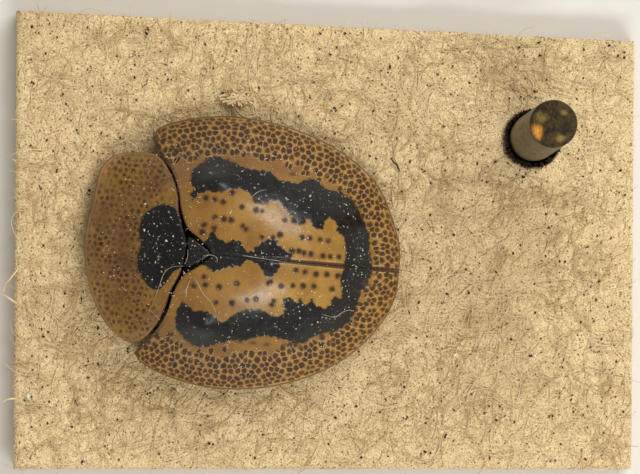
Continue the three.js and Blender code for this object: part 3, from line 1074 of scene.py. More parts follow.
@dataclass
class Pronotum(BackPlate):
    """The shield over the head: brown, with a black spot on its rear lobe."""

    edge: Points = field(default_factory=lambda: [
        (2.39, 0.1), (2.31, 0.5), (2.19, 0.84), (2.02, 1.12), (1.8, 1.34), (1.6, 1.44), (1.4, 1.39),
        (1.17, 1.12), (1.06, 0.86), (0.99, 0.6), (0.88, 0.34), (0.82, 0.08), (0.82, -0.14), (0.9, -0.36),
        (0.98, -0.58), (1.03, -0.86), (1.18, -1.16), (1.42, -1.4), (1.7, -1.42), (2.02, -1.37), (2.23, -1.18),
        (2.3, -0.88), (2.33, -0.6), (2.38, -0.3)])
    edge_points: int = 640
    undulation: float = 0.014
    cell_size: float = 0.1
    cell_depth: float = 0.012
    fold_rise: float = 0.018
    fold_depths: tuple[float, float] = (0.15, 0.24)
    line_width: float = 0.012
    wrinkle: tuple[float, float] = (1.42, -1.12)
    wrinkle_reach: float = 0.24
    wrinkle_rise: float = 0.02

    def outline(self) -> Array:
        """The edge, anticlockwise from its foremost point."""
        return smooth_path(self.edge, self.edge_points, True)

    def relief(self, places: Array, edge_gap: Array) -> tuple[Array, dict[str, Array]]:
        """Cells, rim folds, spot and clouded stains.

        Args:
            places: n by 2 places in the beetle's frame.
            edge_gap: their distances from the edge.

        Returns:
            Height at each place, and one mask for each of the finish's names.
        """
        x, y = places[:, 0], places[:, 1]
        spot_depth = inside(places, smooth_path(on_back(PRONOTUM_SPOT_PX), LOOP_POINTS, True))
        spot = step(spot_depth + 0.006 * wander(places, 12, 2.0), -0.01, 0.012)
        front = step(x, 1.0, 1.35)
        warp = 0.02 * np.column_stack([wander(places, 6.0, k) for k in (11.0, 17.0)])
        near, second, *_, luck = cells(x + warp[:, 0], y + warp[:, 1], self.cell_size, SEED + 3)
        body = step(second - near, 0.004, 0.04) * step(-near, -0.07, -0.04)
        heart = step(-near, -0.034, -0.012)
        patchy = np.clip(0.75 + 0.8 * wander(places, 3.0, 8.0), 0.25, 1)
        present = (edge_gap > 0.045) & (luck > 0.08)
        tone = (0.2 + 0.8 * front) * patchy * (0.6 + 0.4 * luck)
        cell = (0.35 * body + 0.65 * heart) * present * tone * (1 - spot)
        inner = step(edge_gap, 0.25, 0.7)
        cloud = wander(places, 2.4, 6.0) + 0.5 * wander(places, 6.0, 2.0)
        stain = np.clip(0.05 + 0.5 * inner + 0.8 * cloud, 0, 1)
        lines = ridge(edge_gap - 0.03 * np.sin(4 * x), self.fold_depths[0], self.line_width)
        lines += ridge(edge_gap, self.fold_depths[1], self.line_width)
        fold = lines * step(-y, 0.5, 0.8) * step(x, 1.45, 1.75) * 0.6
        away = np.hypot(x - self.wrinkle[0], y - self.wrinkle[1])
        wrinkle = ridge(away, 0.0, self.wrinkle_reach) * np.abs(wander(places, 12.0, 3.0)) * 1.6
        crease = ridge(edge_gap, 0.05, self.line_width) * front
        rear_edge = step(-edge_gap, -0.03, -0.012) * (1 - front)
        added = self.undulation * cloud - self.cell_depth * cell + self.fold_rise * fold
        added += 0.004 * spot + 0.006 * wander(places, 22.0, 3.0) + self.wrinkle_rise * wrinkle
        added -= 0.008 * crease + 0.012 * rear_edge
        masks = {
            "band": spot, "cell": np.clip(cell, 0, 1), "pit": np.zeros(len(x)), "stain": stain * (1 - spot),
            "wall": (1 - body) * front * 0.3 * patchy * (1 - spot),
            "cream": np.clip(0.3 * fold + 0.12 * step(-edge_gap, -0.2, -0.08) * front, 0, 1),
            "seam": np.clip(0.3 * crease + 0.5 * step(-edge_gap, -0.02, -0.006) + 0.8 * rear_edge
                            + 0.4 * fold + wrinkle, 0, 1),
        }
        return added, masks


@dataclass
class Scutellum(BackPlate):
    """The small black triangle between the elytra."""

    edge: Points = field(default_factory=lambda: [
        (0.8, 0.22), (0.6, 0.13), (0.45, 0.0), (0.6, -0.13), (0.8, -0.22), (0.795, 0.0)])

    def outline(self) -> Array:
        """The edge, anticlockwise."""
        return smooth_path(self.edge, 160, True)

    def relief(self, places: Array, edge_gap: Array) -> tuple[Array, dict[str, Array]]:
        """A dull reddish black plate with a worn surface.

        Args:
            places: n by 2 places in the beetle's frame.
            edge_gap: not used.

        Returns:
            Height at each place, and one mask for each of the finish's names.
        """
        zero = np.zeros(len(places))
        wear_and_glints = wander(places, 16.0, 1.0)
        masks = dict.fromkeys(("cell", "wall", "cream", "pit", "stain"), zero)
        return 0.003 * wear_and_glints, {**masks, "band": 0.97 + 0.03 * wear_and_glints, "seam": zero + 1}


# Card and pin


@dataclass
class Card:
    """The felted card: hand-cut edges, a pin hole, fibres and grit."""

    corners: Points = field(default_factory=lambda: [
        (-4.72, -3.479), (4.672, -3.487), (4.72, 3.016), (-4.672, 3.487)])
    thickness: float = 0.5
    hole_centre: tuple[float, float] = (3.167, 1.531)
    hole_radius: float = 0.425
    pin_centre: tuple[float, float] = (3.189, 1.551)
    pin_clearance: float = 0.366
    stains: Points = field(default_factory=lambda: [(-1.4, 1.95), (-1.62, -2.35), (-0.2, -2.5), (2.2, -1.2)])
    stain_reach: float = 0.16
    sides: int = 720
    rings: int = 100
    felt_height: float = 0.02
    edge_drop: float = 0.03
    side_levels: tuple[float, ...] = (0.3, 0.12, 0.0)
    unevenness: float = 0.0025

    def outline(self) -> Array:
        """The cut edge, a little uneven, seen from the hole at even turns.

        Returns:
            Places round the edge.
        """
        loop = np.asarray([*self.corners, self.corners[0]])
        run = np.concatenate([[0], np.cumsum(np.linalg.norm(np.diff(loop, axis=0), axis=1))])
        wanted = np.linspace(0, run[-1], self.sides, endpoint=False)
        edge = np.stack([np.interp(wanted, run, loop[:, i]) for i in range(2)], 1)
        nicks = np.array([1 + noise.noise(Vector((x * 4, y * 4, 1))) for x, y in edge])
        return edge * (1 - self.unevenness * nicks)[:, None]

    def build(self, material: bpy.types.Material) -> bpy.types.Object:
        """The card as one closed body.

        Args:
            material: the card's finish.

        Returns:
            The piece, with masks for the painted shade at its hole's lip and for its stains.
        """
        edge = self.outline()
        hub = np.array(self.hole_centre)
        ray = edge - hub
        ragged = np.array([1 + 0.05 * noise.noise(Vector((x * 2, y * 2, 4))) for x, y in ray])
        lip = hub + ray / np.linalg.norm(ray, axis=1)[:, None] * (self.hole_radius * ragged)[:, None]
        spread = np.linspace(0, 1, self.rings)[:, None, None]
        flat = (lip + spread * (edge - lip)).reshape(-1, 2)
        felt = self.felt_height * (wander(flat, 3.0) + 0.6 * wander(flat, 9.0, 2.0)) - self.felt_height
        ring = np.repeat(np.arange(self.rings), self.sides)
        felt -= np.where((ring == 0) | (ring == self.rings - 1), self.edge_drop, 0)
        top = np.column_stack([flat, self.thickness + felt])
        upper, lower, floor = self.side_levels
        away = (lip - hub) / np.linalg.norm(lip - hub, axis=1)[:, None]
        # A collar of card closes the hole round the pin; the hole's painted shade makes it dark.
        snug = np.array(self.pin_centre) + self.pin_clearance * away
        below = ((edge, upper), (edge, lower), (edge, floor), (snug, floor), (snug, lower - 0.02),
                 (lip, lower), (lip, upper))
        verts = np.concatenate([top, *(np.column_stack([loop, np.full(self.sides, z)]) for loop, z in below)])
        faces = ring_faces(0, self.rings + len(below), self.sides, False)
        last = (self.rings + len(below) - 1) * self.sides
        for s in range(self.sides):
            n = (s + 1) % self.sides
            faces.append((last + s, s, n, last + n))
        piece = make_piece("card_sheet", verts, faces, material, "card")
        reach = np.linalg.norm(verts[:, :2] - hub, axis=1) - self.hole_radius
        # Painted shade round the pin hole, darkest on its lip and bore.
        paint_mask(piece, "hole_shade", step(-reach - 0.03 * wander(verts[:, :2], 9.0), -0.035, 0.01))
        marks = [ridge(np.hypot(*(verts[:, :2] - mark).T), 0.0, self.stain_reach) for mark in self.stains]
        uneven = 0.5 + 0.6 * wander(verts[:, :2], 7.0)
        paint_mask(piece, "stain", np.clip(np.sum(marks, axis=0) * uneven, 0, 0.8))
        return piece


@dataclass
class Pin:
    """A thick plain wire with a softly rounded end."""

    centre: tuple[float, float] = (3.19, 1.55)
    radius: float = 0.36
    top_radius: float = 0.33
    height: float = 6.7
    dome: float = 0.09
    lean: tuple[float, float] = (-0.04, 0.046)
    patch_sizes: tuple[float, ...] = (0.12, 0.11, 0.075, 0.06)
    flat_share: float = 0.7
    dent: float = 0.012
    sides: int = 72
    shaft_rings: int = 60
    dome_rings: int = 9
    end_rings: int = 22

    def build(self, material: bpy.types.Material) -> bpy.types.Object:
        """The pin as one closed body, with masks for its end, which is painted darker as shade, and for
        patches of painted reflection on it.

        Args:
            material: the pin's finish.

        Returns:
            The piece.
        """
        shoulder = self.height - self.dome
        shaft = np.concatenate([[0, 0.02], np.linspace(0.1, shoulder, self.shaft_rings)])
        turn = np.linspace(0, math.pi / 2, self.dome_rings)[1:]
        inner = np.linspace(0.96, 0.03, self.end_rings)
        drop = self.dome * 0.45
        rounded = self.flat_share + (1 - self.flat_share) * np.cos(turn)
        radii = np.concatenate([self.radius + (self.top_radius - self.radius) * shaft / self.height,
                                self.top_radius * rounded, self.top_radius * self.flat_share * inner])
        levels = np.concatenate([shaft, shoulder + (self.dome - drop) * np.sin(turn),
                                 self.height - drop * inner**2])
        spin = np.linspace(0, 2 * math.pi, self.sides, endpoint=False)
        verts = []
        for z, radius in zip(levels, radii):
            dents = [1 + self.dent * noise.noise(Vector((math.cos(a) * 2, math.sin(a) * 2, z * 1.5)))
                     for a in spin]
            ring = radius * np.asarray(dents)
            x, y = np.asarray(self.centre) + np.asarray(self.lean) * z / self.height
            verts.append(np.column_stack([x + ring * np.cos(spin), y + ring * np.sin(spin),
                                          np.full(self.sides, z)]))
        verts = np.concatenate(verts)
        end = step(verts[:, 2], shoulder - 0.01, shoulder + 0.03)
        verts[:, 2] += end * (0.014 * wander(verts[:, :2], 5.0, 3.0) - 0.014)
        faces = ring_faces(0, len(levels), self.sides, True)
        faces += [tuple(range(self.sides))[::-1], tuple(range(len(verts) - self.sides, len(verts)))]
        piece = make_piece("pin_wire", verts, faces, material, "pin_metal")
        # Patches of painted reflection: blurred lamp glints on the end, the first orange and the rest olive.
        patches = PHOTO.to_row(PIN_GLINTS_PX, self.height - STANCE.card_face)
        gaps = np.linalg.norm(verts[:, None, :2] - patches[None], axis=2)
        ragged = 0.05 * wander(verts[:, :2], 9.0, 6.0)
        wear_and_glints = [step(-gap + ragged, -size * 1.1, -size * 0.1) for gap, size in zip(gaps.T, self.patch_sizes)]
        paint_mask(piece, "end", end)
        paint_mask(piece, "orange_glint", wear_and_glints[0] * end)
        paint_mask(piece, "olive", np.max(wear_and_glints[1:], axis=0) * 0.75 * end)
        return piece


# Scattered pieces, grown by geometry nodes


class Scatter:
    """Grows small shapes over a surface with geometry nodes and returns a plain mesh."""

    def __init__(self, name: str) -> None:
        """Starts a tree of that name with a geometry input and output.

        Args:
            name: the tree's and the grown piece's name.
        """
        self.name = name
        self.tree = bpy.data.node_groups.new(name, "GeometryNodeTree")
        for way in ("INPUT", "OUTPUT"):
            self.tree.interface.new_socket("Geometry", in_out=way, socket_type="NodeSocketGeometry")
        self.entry = self.tree.nodes.new("NodeGroupInput")
        self.values: dict[str, object] = {}

    def value(self, name: str, kind: str, number: object) -> bpy.types.NodeSocket:
        """Adds a named input and returns its socket.

        Args:
            name: the input's name.
            kind: its socket's kind.
            number: its value.

        Returns:
            The socket that gives it.
        """
        socket = self.tree.interface.new_socket(name, in_out="INPUT", socket_type=kind)
        self.values[socket.identifier] = number
        return self.entry.outputs[name]

    def add(self, kind: str, inputs: dict[str, object] | None = None, **settings: object) -> bpy.types.Node:
        """Adds a node, with inputs that are numbers or other nodes' sockets.

        Args:
            kind: the node's kind.
            inputs: values and sockets by input name.
            **settings: the node's own settings.

        Returns:
            The node.
        """
        node = self.tree.nodes.new(kind)
        for key, setting in settings.items():
            setattr(node, key, setting)
        for key, given in (inputs or {}).items():
            socket = next(s for s in node.inputs if s.name == key and s.enabled)
            if isinstance(given, bpy.types.NodeSocket):
                self.tree.links.new(given, socket)
            else:
                socket.default_value = given
        return node

    def random(self, low: float, high: float, seed: int) -> bpy.types.NodeSocket:
        """A random number for each point."""
        node = self.add("FunctionNodeRandomValue", {"Min": low, "Max": high, "Seed": seed})
        return next(s for s in node.outputs if s.enabled)

    def dots(self, label: str, per_mm2: float, seed: int) -> bpy.types.NodeSocket:
        """Points scattered over the surface.

        Args:
            label: what the points stand for, in the inputs' names.
            per_mm2: how many there are in a square millimetre.
            seed: the fixed seed of their places.

        Returns:
            The points.
        """
        density = self.value(f"{label} per square metre", "NodeSocketFloat", per_mm2 / MM**2)
        fixed = self.value("Seed", "NodeSocketInt", seed)
        return self.add("GeometryNodeDistributePointsOnFaces", {
            "Mesh": self.entry.outputs["Geometry"], "Density": density, "Seed": fixed}).outputs[0]

    def clear(self, points: bpy.types.NodeSocket, hub: tuple[float, float],
              reach: tuple[float, float]) -> bpy.types.NodeSocket:
        """Removes points within an oval place.

        Args:
            points: the points to thin out.
            hub: the oval's middle, in millimetres.
            reach: the oval's half lengths along x and y, in millimetres.

        Returns:
            The points that are left.
        """
        place = self.add("GeometryNodeInputPosition").outputs[0]
        for operation, by in (("SUBTRACT", [c * MM for c in hub]),
                              ("MULTIPLY", [1 / (c * MM) for c in reach])):
            moved = self.add("ShaderNodeVectorMath", {"Vector": place}, operation=operation)
            moved.inputs[1].default_value = (*by, 0)
            place = moved.outputs[0]
        length = self.add("ShaderNodeVectorMath", {"Vector": place}, operation="LENGTH")
        near = self.add("FunctionNodeCompare", {"A": length.outputs["Value"], "B": 1.0},
                        operation="LESS_THAN")
        return self.add("GeometryNodeDeleteGeometry", {"Geometry": points, "Selection": near.outputs[0]},
                        domain="POINT").outputs[0]

    def bent_fibre(self, bend: float, lift: float, radius: bpy.types.NodeSocket) -> bpy.types.NodeSocket:
        """One curved fibre a millimetre long, to be scaled down.

        Args:
            bend: how far it bows sideways, in millimetres.
            lift: how far it bows upwards, in millimetres.
            radius: half its thickness.

        Returns:
            The fibre.
        """
        line = self.add("GeometryNodeCurveQuadraticBezier", {
            "Resolution": 7, "Start": (-0.5 * MM, 0, 0), "Middle": (0.05 * MM, bend * MM, lift * MM),
            "End": (0.5 * MM, 0.1 * bend * MM, 0)})
        ring = self.add("GeometryNodeCurvePrimitiveCircle", {"Resolution": 3, "Radius": radius})
        return self.add("GeometryNodeCurveToMesh", {
            "Curve": line.outputs[0], "Profile Curve": ring.outputs[0], "Fill Caps": True}).outputs[0]

    def finish(self, source: bpy.types.Object, grown: bpy.types.NodeSocket, material: bpy.types.Material,
               slot: str) -> None:
        """Ends the tree, runs it on the source and keeps the result as a piece.

        Args:
            source: the object that it grows on.
            grown: the instances.
            material: the finish of the grown pieces.
            slot: not used.
        """
        real = self.add("GeometryNodeRealizeInstances", {"Geometry": grown})
        dressed = self.add("GeometryNodeSetMaterial", {"Geometry": real.outputs[0], "Material": material})
        exit_node = self.tree.nodes.new("NodeGroupOutput")
        self.tree.links.new(dressed.outputs[0], exit_node.inputs[0])
        modifier = source.modifiers.new(self.name, "NODES")
        modifier.node_group = self.tree
        for identifier, number in self.values.items():
            modifier[identifier] = number
        graph = bpy.context.evaluated_depsgraph_get()
        mesh = bpy.data.meshes.new_from_object(source.evaluated_get(graph))
        source.modifiers.remove(modifier)
        mesh.name = self.name
        keep_piece(self.name, mesh)


@dataclass
class Felt:
    """Loose curly fibres and dark grit on the card's face."""

    card: Card
    fibres_per_mm2: float = 84.0
    fibre_radius: float = 0.0125
    fibre_lengths: tuple[float, float] = (0.16, 0.56)
    fibre_bends: Points = field(default_factory=lambda: [
        (0.35, 0.12), (-0.5, 0.08), (0.15, 0.18), (-0.2, 0.04), (0.65, 0.1)])
    fibre_clear: tuple[float, float] = (0.68, 0.68)
    beetle_clear: tuple[float, float] = (2.25, 2.0)
    grit_per_mm2: float = 27.0
    grit_radius: float = 0.024
    grit_clear: tuple[float, float] = (0.5, 0.5)
    inset: float = 0.974
    sunk: float = 0.012

    def _sheet(self) -> bpy.types.Object:
        """A flat scratch face over the card for things to grow on.

        Returns:
            The face, just under the card's top.
        """
        mesh = bpy.data.meshes.new("scratch_face")
        hub = np.mean(self.card.corners, axis=0)
        corners = [hub + (np.array(corner) - hub) * self.inset for corner in self.card.corners]
        level = self.card.thickness - self.sunk
        mesh.from_pydata([(x * MM, y * MM, level * MM) for x, y in corners], [], [(0, 1, 2, 3)])
        face = bpy.data.objects.new("scratch_face", mesh)
        bpy.context.scene.collection.objects.link(face)
        return face

    def build(self) -> None:
        """Grows the fibres and the grit."""
        face = self._sheet()
        self._fibres(face)
        self._grit(face)
        bpy.data.objects.remove(face)

    def _fibres(self, face: bpy.types.Object) -> None:
        """Thousands of bent fibres lying at random.

        Args:
            face: the face that they grow on.
        """
        s = Scatter("card_fibres")
        dots = s.dots("Fibres", self.fibres_per_mm2, SEED)
        for hub, reach in ((self.card.hole_centre, self.fibre_clear), (STANCE.centre, self.beetle_clear)):
            dots = s.clear(dots, hub, reach)
        radius = s.value("Fibre radius", "NodeSocketFloat", self.fibre_radius * MM)
        join = s.add("GeometryNodeGeometryToInstance")
        for bend, lift in self.fibre_bends:
            s.tree.links.new(s.bent_fibre(bend, lift, radius), join.inputs[0])
        turn = s.add("ShaderNodeCombineXYZ", {"X": s.random(-0.2, 0.2, 3), "Y": s.random(-0.12, 0.12, 4),
                                              "Z": s.random(0.0, 6.28, 5)})
        placed = s.add("GeometryNodeInstanceOnPoints", {
            "Points": dots, "Instance": join.outputs[0], "Pick Instance": True, "Rotation": turn.outputs[0],
            "Scale": s.random(*self.fibre_lengths, 6)})
        s.finish(face, placed.outputs[0], FIBRE.build(), "card")

    def _grit(self, face: bpy.types.Object) -> None:
        """Dark specks of grit, most of them tiny.

        Args:
            face: the face that they lie on.
        """
        s = Scatter("card_grit")
        dots = s.clear(s.dots("Grit", self.grit_per_mm2, SEED + 5), self.card.hole_centre, self.grit_clear)
        radius = s.value("Grit radius", "NodeSocketFloat", self.grit_radius * MM)
        grain = s.add("GeometryNodeMeshIcoSphere", {"Radius": radius, "Subdivisions": 1})
        size = s.add("ShaderNodeMath", {}, operation="POWER")
        s.tree.links.new(s.random(0.25, 1.0, 8), size.inputs[0])
        size.inputs[1].default_value = 1.6
        stretch = s.add("ShaderNodeCombineXYZ", {"X": s.random(0.7, 1.4, 9), "Y": s.random(0.6, 1.0, 10),
                                                 "Z": 0.6})
        scale = s.add("ShaderNodeVectorMath", {"Vector": stretch.outputs[0]}, operation="SCALE")
        s.tree.links.new(size.outputs[0], scale.inputs["Scale"])
        turn = s.add("ShaderNodeCombineXYZ", {"Z": s.random(0.0, 6.28, 11)})
        placed = s.add("GeometryNodeInstanceOnPoints", {
            "Points": dots, "Instance": grain.outputs[0], "Rotation": turn.outputs[0],
            "Scale": scale.outputs[0]})
        lifted = s.add("GeometryNodeTranslateInstances", {
            "Instances": placed.outputs[0], "Translation": (0, 0, self.sunk * MM)})
        s.finish(face, lifted.outputs[0], GRIT_AND_SHADOW.build(), "card")


@dataclass
class Dust:
    """Pale flakes, fine dust and stray hairs on the beetle's back."""

    flake: float = 0.033
    fine_count: int = 1600
    streak_count: int = 120
    streak_narrow: float = 0.22
    streak_lengths: tuple[float, float] = (0.02, 0.045)
    fine_sizes: tuple[float, float] = (0.006, 0.012)
    spread_middle: float = 0.05
    spread_reach: tuple[float, float] = (2.15, 1.85)
    corners: int = 6
    hair_radius: float = 0.0044
    hair_rings: int = 26
    hair_lift: float = 0.022

    def build(self) -> None:
        """Makes the flakes and the hairs."""
        rng = np.random.default_rng(SEED)
        parts = [self._flake(rng, *place, self.flake * rng.uniform(0.5, 1.0)) for place in on_back(FLAKES_PX)]
        parts += [self._flake(rng, x, y, self.fine_sizes[0] + self.fine_sizes[1] * rng.uniform() ** 3)
                  for x, y in self._spread(rng, self.fine_count)]
        parts += [self._flake(rng, x, y, rng.uniform(*self.streak_lengths), self.streak_narrow)
                  for x, y in self._spread(rng, self.streak_count)]
        for name, shapes, finish in (("dust_flakes", parts, DUST),
                                     ("stray_hairs", [self._hair(line) for line in HAIRS_PX], HAIR)):
            verts, faces = gather(shapes)
            make_piece(name, STANCE.to_row(verts), faces, finish.build(), "shell")

    def _hair(self, line: Points) -> tuple[Array, list]:
        """One hair lying loosely on the back.

        Args:
            line: pixels of the photograph that it passes through.

        Returns:
            Vertices and faces.
        """
        path = smooth_path([tuple(p) for p in on_back(line)], self.hair_rings, False)
        lift = self.hair_lift + 0.012 * np.sin(np.linspace(0, 9, len(path)))
        taper = self.hair_radius * (0.55 + 0.45 * np.sin(np.linspace(0.25, 2.9, len(path))))
        return tube(np.column_stack([path, DOME.height(path[:, 0], path[:, 1]) + lift]), taper, SECTION)

    def _spread(self, rng: np.random.Generator, count: int) -> Array:
        """Places all over the back, clear of its edge.

        Args:
            rng: the source of the places.
            count: how many there are.

        Returns:
            count by 2 places in the beetle's frame.
        """
        turn, reach = rng.uniform(0, 2 * math.pi, count), np.sqrt(rng.uniform(0, 1, count))
        along, across = self.spread_reach
        return np.column_stack([self.spread_middle + along * reach * np.cos(turn),
                                across * reach * np.sin(turn)])

    def _flake(self, rng: np.random.Generator, x: float, y: float, size: float,
               narrow: float = 0.8) -> tuple[Array, list]:
        """One irregular flat flake lying on the back.

        Args:
            rng: the source of its shape.
            x: its place along the beetle.
            y: its place across the beetle.
            size: its longest reach.
            narrow: its width as a share of its length.

        Returns:
            Vertices and faces.
        """
        n = self.corners
        spin = np.sort(rng.uniform(0, 2 * math.pi, n))
        reach = size * rng.uniform(0.6, 1.0, n)
        turn = rng.uniform(0, 2 * math.pi)
        u, v = reach * np.cos(spin), narrow * reach * np.sin(spin)
        c, s = math.cos(turn), math.sin(turn)
        ring = np.column_stack([x + u * c - v * s, y + u * s + v * c])
        ground = DOME.height(ring[:, 0], ring[:, 1])
        centre = DOME.height(np.array([x]), np.array([y]))[0]
        low = np.column_stack([ring, ground + 0.004])
        verts = np.concatenate([low, [[x, y, centre + 0.016 + size * 0.3]], [[x, y, centre - 0.03]]])
        faces = [(i, (i + 1) % n, n) for i in range(n)] + [((i + 1) % n, i, n + 1) for i in range(n)]
        return verts, faces


@dataclass
class Litter:
    """Stray threads, flecks, a tuft of lint on the card and a painted shadow under the tuft."""

    card: Card
    thread_radius: float = 0.014
    thread_rings: int = 20
    lift: float = 0.02
    tuft_count: int = 44
    tuft_reach: tuple[float, float] = (0.09, 0.036)
    lint_radius: float = 0.018
    lint_rings: int = 12
    lint_lengths: tuple[float, float] = (0.1, 0.24)
    fringe_count: int = 120
    fringe_radius: float = 0.0075
    fringe_rings: int = 6
    fringe_start: tuple[float, float] = (-0.06, -0.015)
    fringe_lengths: tuple[float, float] = (0.03, 0.09)
    lump_rings: int = 13

    def build(self) -> None:
        """Makes the pale litter, and the dark litter with the tuft's painted shadow."""
        rng = np.random.default_rng(SEED + 40)
        fibres = [self._thread(line) for line in CARD_THREADS_PX]
        fibres += [self._lint(rng) for _ in range(self.tuft_count)]
        flecks = [self._lump(rng, *fleck) for fleck in FLECKS_PX]
        dark = [self._thread(line) for line in DARK_THREADS_PX]
        # One of these lumps is the painted shadow under the tuft.
        dark += [self._lump(rng, *fleck) for fleck in DARK_FLECKS_AND_TUFT_SHADOW_PX]
        dark += [self._fringe(rng) for _ in range(self.fringe_count)]
        for name, shapes, finish in (("card_threads", fibres, FIBRE), ("card_flecks", flecks, DUST),
                                     ("card_debris_and_tuft_shadow", dark, GRIT_AND_SHADOW)):
            make_piece(name, *gather(shapes), finish.build(), "card")

    def _thread(self, line: Points) -> tuple[Array, list]:
        """A thread lying on the card's face.

        Args:
            line: pixels of the photograph that it passes through.

        Returns:
            Vertices and faces.
        """
        path = smooth_path([tuple(p) for p in PHOTO.to_row(line, 0.0)], self.thread_rings, False)
        rise = STANCE.card_face + self.lift + 0.02 * np.sin(np.linspace(0, 5, len(path)))
        taper = self.thread_radius * (0.6 + 0.4 * np.sin(np.linspace(0.3, 2.9, len(path))))
        return tube(np.column_stack([path, rise]), taper, SECTION)

    def _lint(self, rng: np.random.Generator) -> tuple[Array, list]:
        """One curled fibre of the tuft.

        Args:
            rng: the source of its place and shape.

        Returns:
            Vertices and faces.
        """
        place = PHOTO.to_row([TUFT_PX], 0.0)[0] + rng.normal(0, 1, 2) * self.tuft_reach
        turn, bend = rng.uniform(-0.8, 0.8), rng.uniform(-1.2, 1.2)
        t = np.linspace(-0.5, 0.5, self.lint_rings) * rng.uniform(*self.lint_lengths)
        along = turn + bend * t / 0.12
        path = place + np.column_stack([t * np.cos(along), t * np.sin(along)])
        rise = STANCE.card_face + self.lift + rng.uniform(0, 0.07) + 0.1 * t
        return tube(np.column_stack([path, rise]), np.full(len(t), self.lint_radius), SECTION)

    def _fringe(self, rng: np.random.Generator) -> tuple[Array, list]:
        """One short dark fibre on the lip of the pin hole.

        Args:
            rng: the source of its place and shape.

        Returns:
            Vertices and faces.
        """
        turn, lean = rng.uniform(0, 2 * math.pi), rng.uniform(-0.7, 0.7)
        out, way = (np.array([math.cos(a), math.sin(a)]) for a in (turn, turn + lean))
        from_hub = self.card.hole_radius + rng.uniform(*self.fringe_start)
        start = np.array(self.card.hole_centre) + from_hub * out
        reach = np.linspace(0, rng.uniform(*self.fringe_lengths), self.fringe_rings)[:, None]
        rise = self.card.thickness + np.linspace(0.0, self.lift, self.fringe_rings)
        return tube(np.column_stack([start + reach * way, rise]), np.full(len(rise), self.fringe_radius), 5)

    def _lump(self, rng: np.random.Generator, x_px: float, y_px: float,
              reach_px: float) -> tuple[Array, list]:
        """One ragged oval fleck.

        Args:
            rng: the source of its shape.
            x_px: its place across the photograph.
            y_px: its place down the photograph.
            reach_px: half its length, in pixels.

        Returns:
            Vertices and faces.
        """
        place, reach = PHOTO.to_row([(x_px, y_px)], 0.0)[0], reach_px / PHOTO.px_per_mm
        turn = rng.uniform(1.2, 1.9)
        t = np.linspace(-0.98, 0.98, self.lump_rings)
        path = place + reach * np.column_stack([t * math.cos(turn), t * math.sin(turn)])
        bulge = reach * 0.62 * np.sqrt(1 - t**2) * rng.uniform(0.75, 1.15, len(t))
        verts, faces = tube(np.column_stack([path, np.zeros(len(t))]), bulge, 10)
        verts[:, 2] = STANCE.card_face + 0.01 + 0.35 * verts[:, 2]
        return verts, faces


# Under the back


@dataclass(frozen=True)
class Hidden:
    """The small parts under the back, which keep their solids' shapes."""

    finishes: dict[str, PlainFinish] = field(default_factory=lambda: {
        **dict.fromkeys(("abdomen", "thorax", "head"), UNDERSIDE), "glue_drop": GUM,
        **{f"eye_{side}": EYE for side in ("left", "right")},
        **{f"{limb}_{side}": LIMB for limb in ("antenna", "leg_front", "leg_middle", "leg_hind")
           for side in ("left", "right")}})

    def build(self) -> None:
        """Gives each solid its finish."""
        made = {finish: finish.build() for finish in (UNDERSIDE, GUM, EYE, LIMB)}
        for name, finish in self.finishes.items():
            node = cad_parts[name]
            node.data.materials.clear()
            node.data.materials.append(made[finish])
            LOG.info("%s: %s", name, finish.name)


# Stage


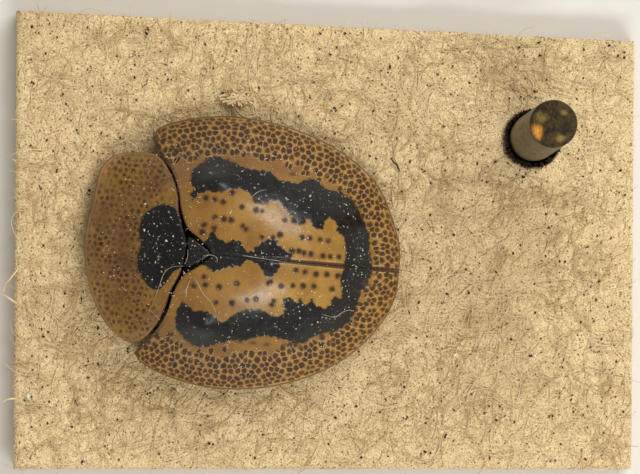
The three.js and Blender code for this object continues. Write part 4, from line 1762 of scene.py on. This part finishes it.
@dataclass(frozen=True)
class Studio:
    """Pale floor, soft lights and the camera straight above."""

    floor_size: float = 400.0
    floor_drop: float = 0.01
    sensor: float = 36.0
    clip: tuple[float, float] = (1.0, 2000.0)
    room_colour: tuple[float, ...] = (1.0, 0.965, 0.9, 1.0)
    room_strength: float = 0.46
    lights: dict[str, tuple] = field(default_factory=lambda: {
        "upper_strip": ((42, 46, 54), (72, 11), 0.04), "lower_strip": ((18, -44, 56), (42, 12), 0.026)})

    def build(self) -> None:
        """Makes the floor, the lights and the camera."""
        self._floor()
        for name, (place, size, watts) in self.lights.items():
            self._light(name, place, size, watts)
        self._camera()
        world = bpy.data.worlds.new("soft_room")
        world.use_nodes = True
        room = world.node_tree.nodes["Background"].inputs
        room["Color"].default_value, room["Strength"].default_value = self.room_colour, self.room_strength
        bpy.context.scene.world = world
        bpy.context.scene.view_settings.view_transform = "Standard"

    def _floor(self) -> None:
        """A plain pale floor."""
        mesh = bpy.data.meshes.new("floor")
        h = self.floor_size * MM
        mesh.from_pydata([(-h, -h, 0), (h, -h, 0), (h, h, 0), (-h, h, 0)], [], [(0, 1, 2, 3)])
        floor = bpy.data.objects.new("floor", mesh)
        floor.location.z = -self.floor_drop * MM
        recipe = Recipe("pale_floor")
        recipe.set(Base_Color=srgb(222, 219, 212), Roughness=0.8)
        mesh.materials.append(recipe.material)
        bpy.context.scene.collection.objects.link(floor)

    def _light(self, name: str, place: tuple[float, float, float], size: tuple[float, float],
               watts: float) -> None:
        """An oblong soft light aimed at the card.

        Args:
            name: the light's name.
            place: its middle, in millimetres.
            size: its two sides, in millimetres.
            watts: its power.
        """
        lamp = bpy.data.lights.new(name, "AREA")
        lamp.shape, lamp.energy = "RECTANGLE", watts
        lamp.size, lamp.size_y = size[0] * MM, size[1] * MM
        light = bpy.data.objects.new(name, lamp)
        light.location = Vector(place) * MM
        light.rotation_euler = (-Vector(place)).to_track_quat("-Z", "Y").to_euler()
        bpy.context.scene.collection.objects.link(light)

    def _camera(self) -> None:
        """The photograph's own view, straight down."""
        lens = bpy.data.cameras.new("photo_view")
        lens.sensor_width = self.sensor
        lens.lens = self.sensor * PHOTO.camera_height / (PHOTO.width_px / PHOTO.px_per_mm)
        lens.clip_start, lens.clip_end = (edge * MM for edge in self.clip)
        camera = bpy.data.objects.new("photo_view", lens)
        camera.location = Vector((*PHOTO.centre, PHOTO.camera_height + STANCE.card_face)) * MM
        bpy.context.scene.collection.objects.link(camera)
        bpy.context.scene.camera = camera


def make_back() -> None:
    """Makes the plates of the back and lets them stand for their solids."""
    shell = WING_CASE.build()
    margins = {
        Side.LEFT: [(1.5, 1.6), (1.4, 1.72), (1.06, 1.88), (0.43, 2.01), (-0.17, 2.0), (-0.77, 1.87),
                    (-1.35, 1.62), (-1.85, 1.24), (-2.2, 0.78), (-2.36, 0.35)],
        Side.RIGHT: [(1.53, 1.66), (1.44, 1.81), (1.02, 1.99), (0.43, 2.09), (-0.19, 2.06), (-0.81, 1.93),
                     (-1.45, 1.65), (-1.94, 1.25), (-2.26, 0.64), (-2.36, 0.3)],
    }
    for side, margin in margins.items():
        word = side.name.lower()
        plate = Elytron(f"wing_case_{word}", "shell", middle=(-0.4, 0.75 * side.value), rings=100, side=side,
                        margin=margin)
        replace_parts(plate.build(shell), f"elytron_{word}")
    shield = Pronotum("shield", "shell", middle=(1.56, 0.02), rings=90, edge_roll=0.03)
    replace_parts(shield.build(SHIELD.build()), "pronotum")
    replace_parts(Scutellum("triangle", "black_shell", middle=(0.66, 0.0), rings=30).build(shell), "scutellum")


def main() -> None:
    """Builds the specimen, piece by piece."""
    logging.basicConfig(level=logging.INFO, format="%(message)s")
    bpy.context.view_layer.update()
    Studio().build()
    card = Card()
    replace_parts(card.build(CardFinish().build()), "card")
    Felt(card).build()
    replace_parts(Pin().build(PinFinish().build()), "pin")
    make_back()
    Hidden().build()
    Dust().build()
    Litter(card).build()


if __name__ == "__main__":
    main()
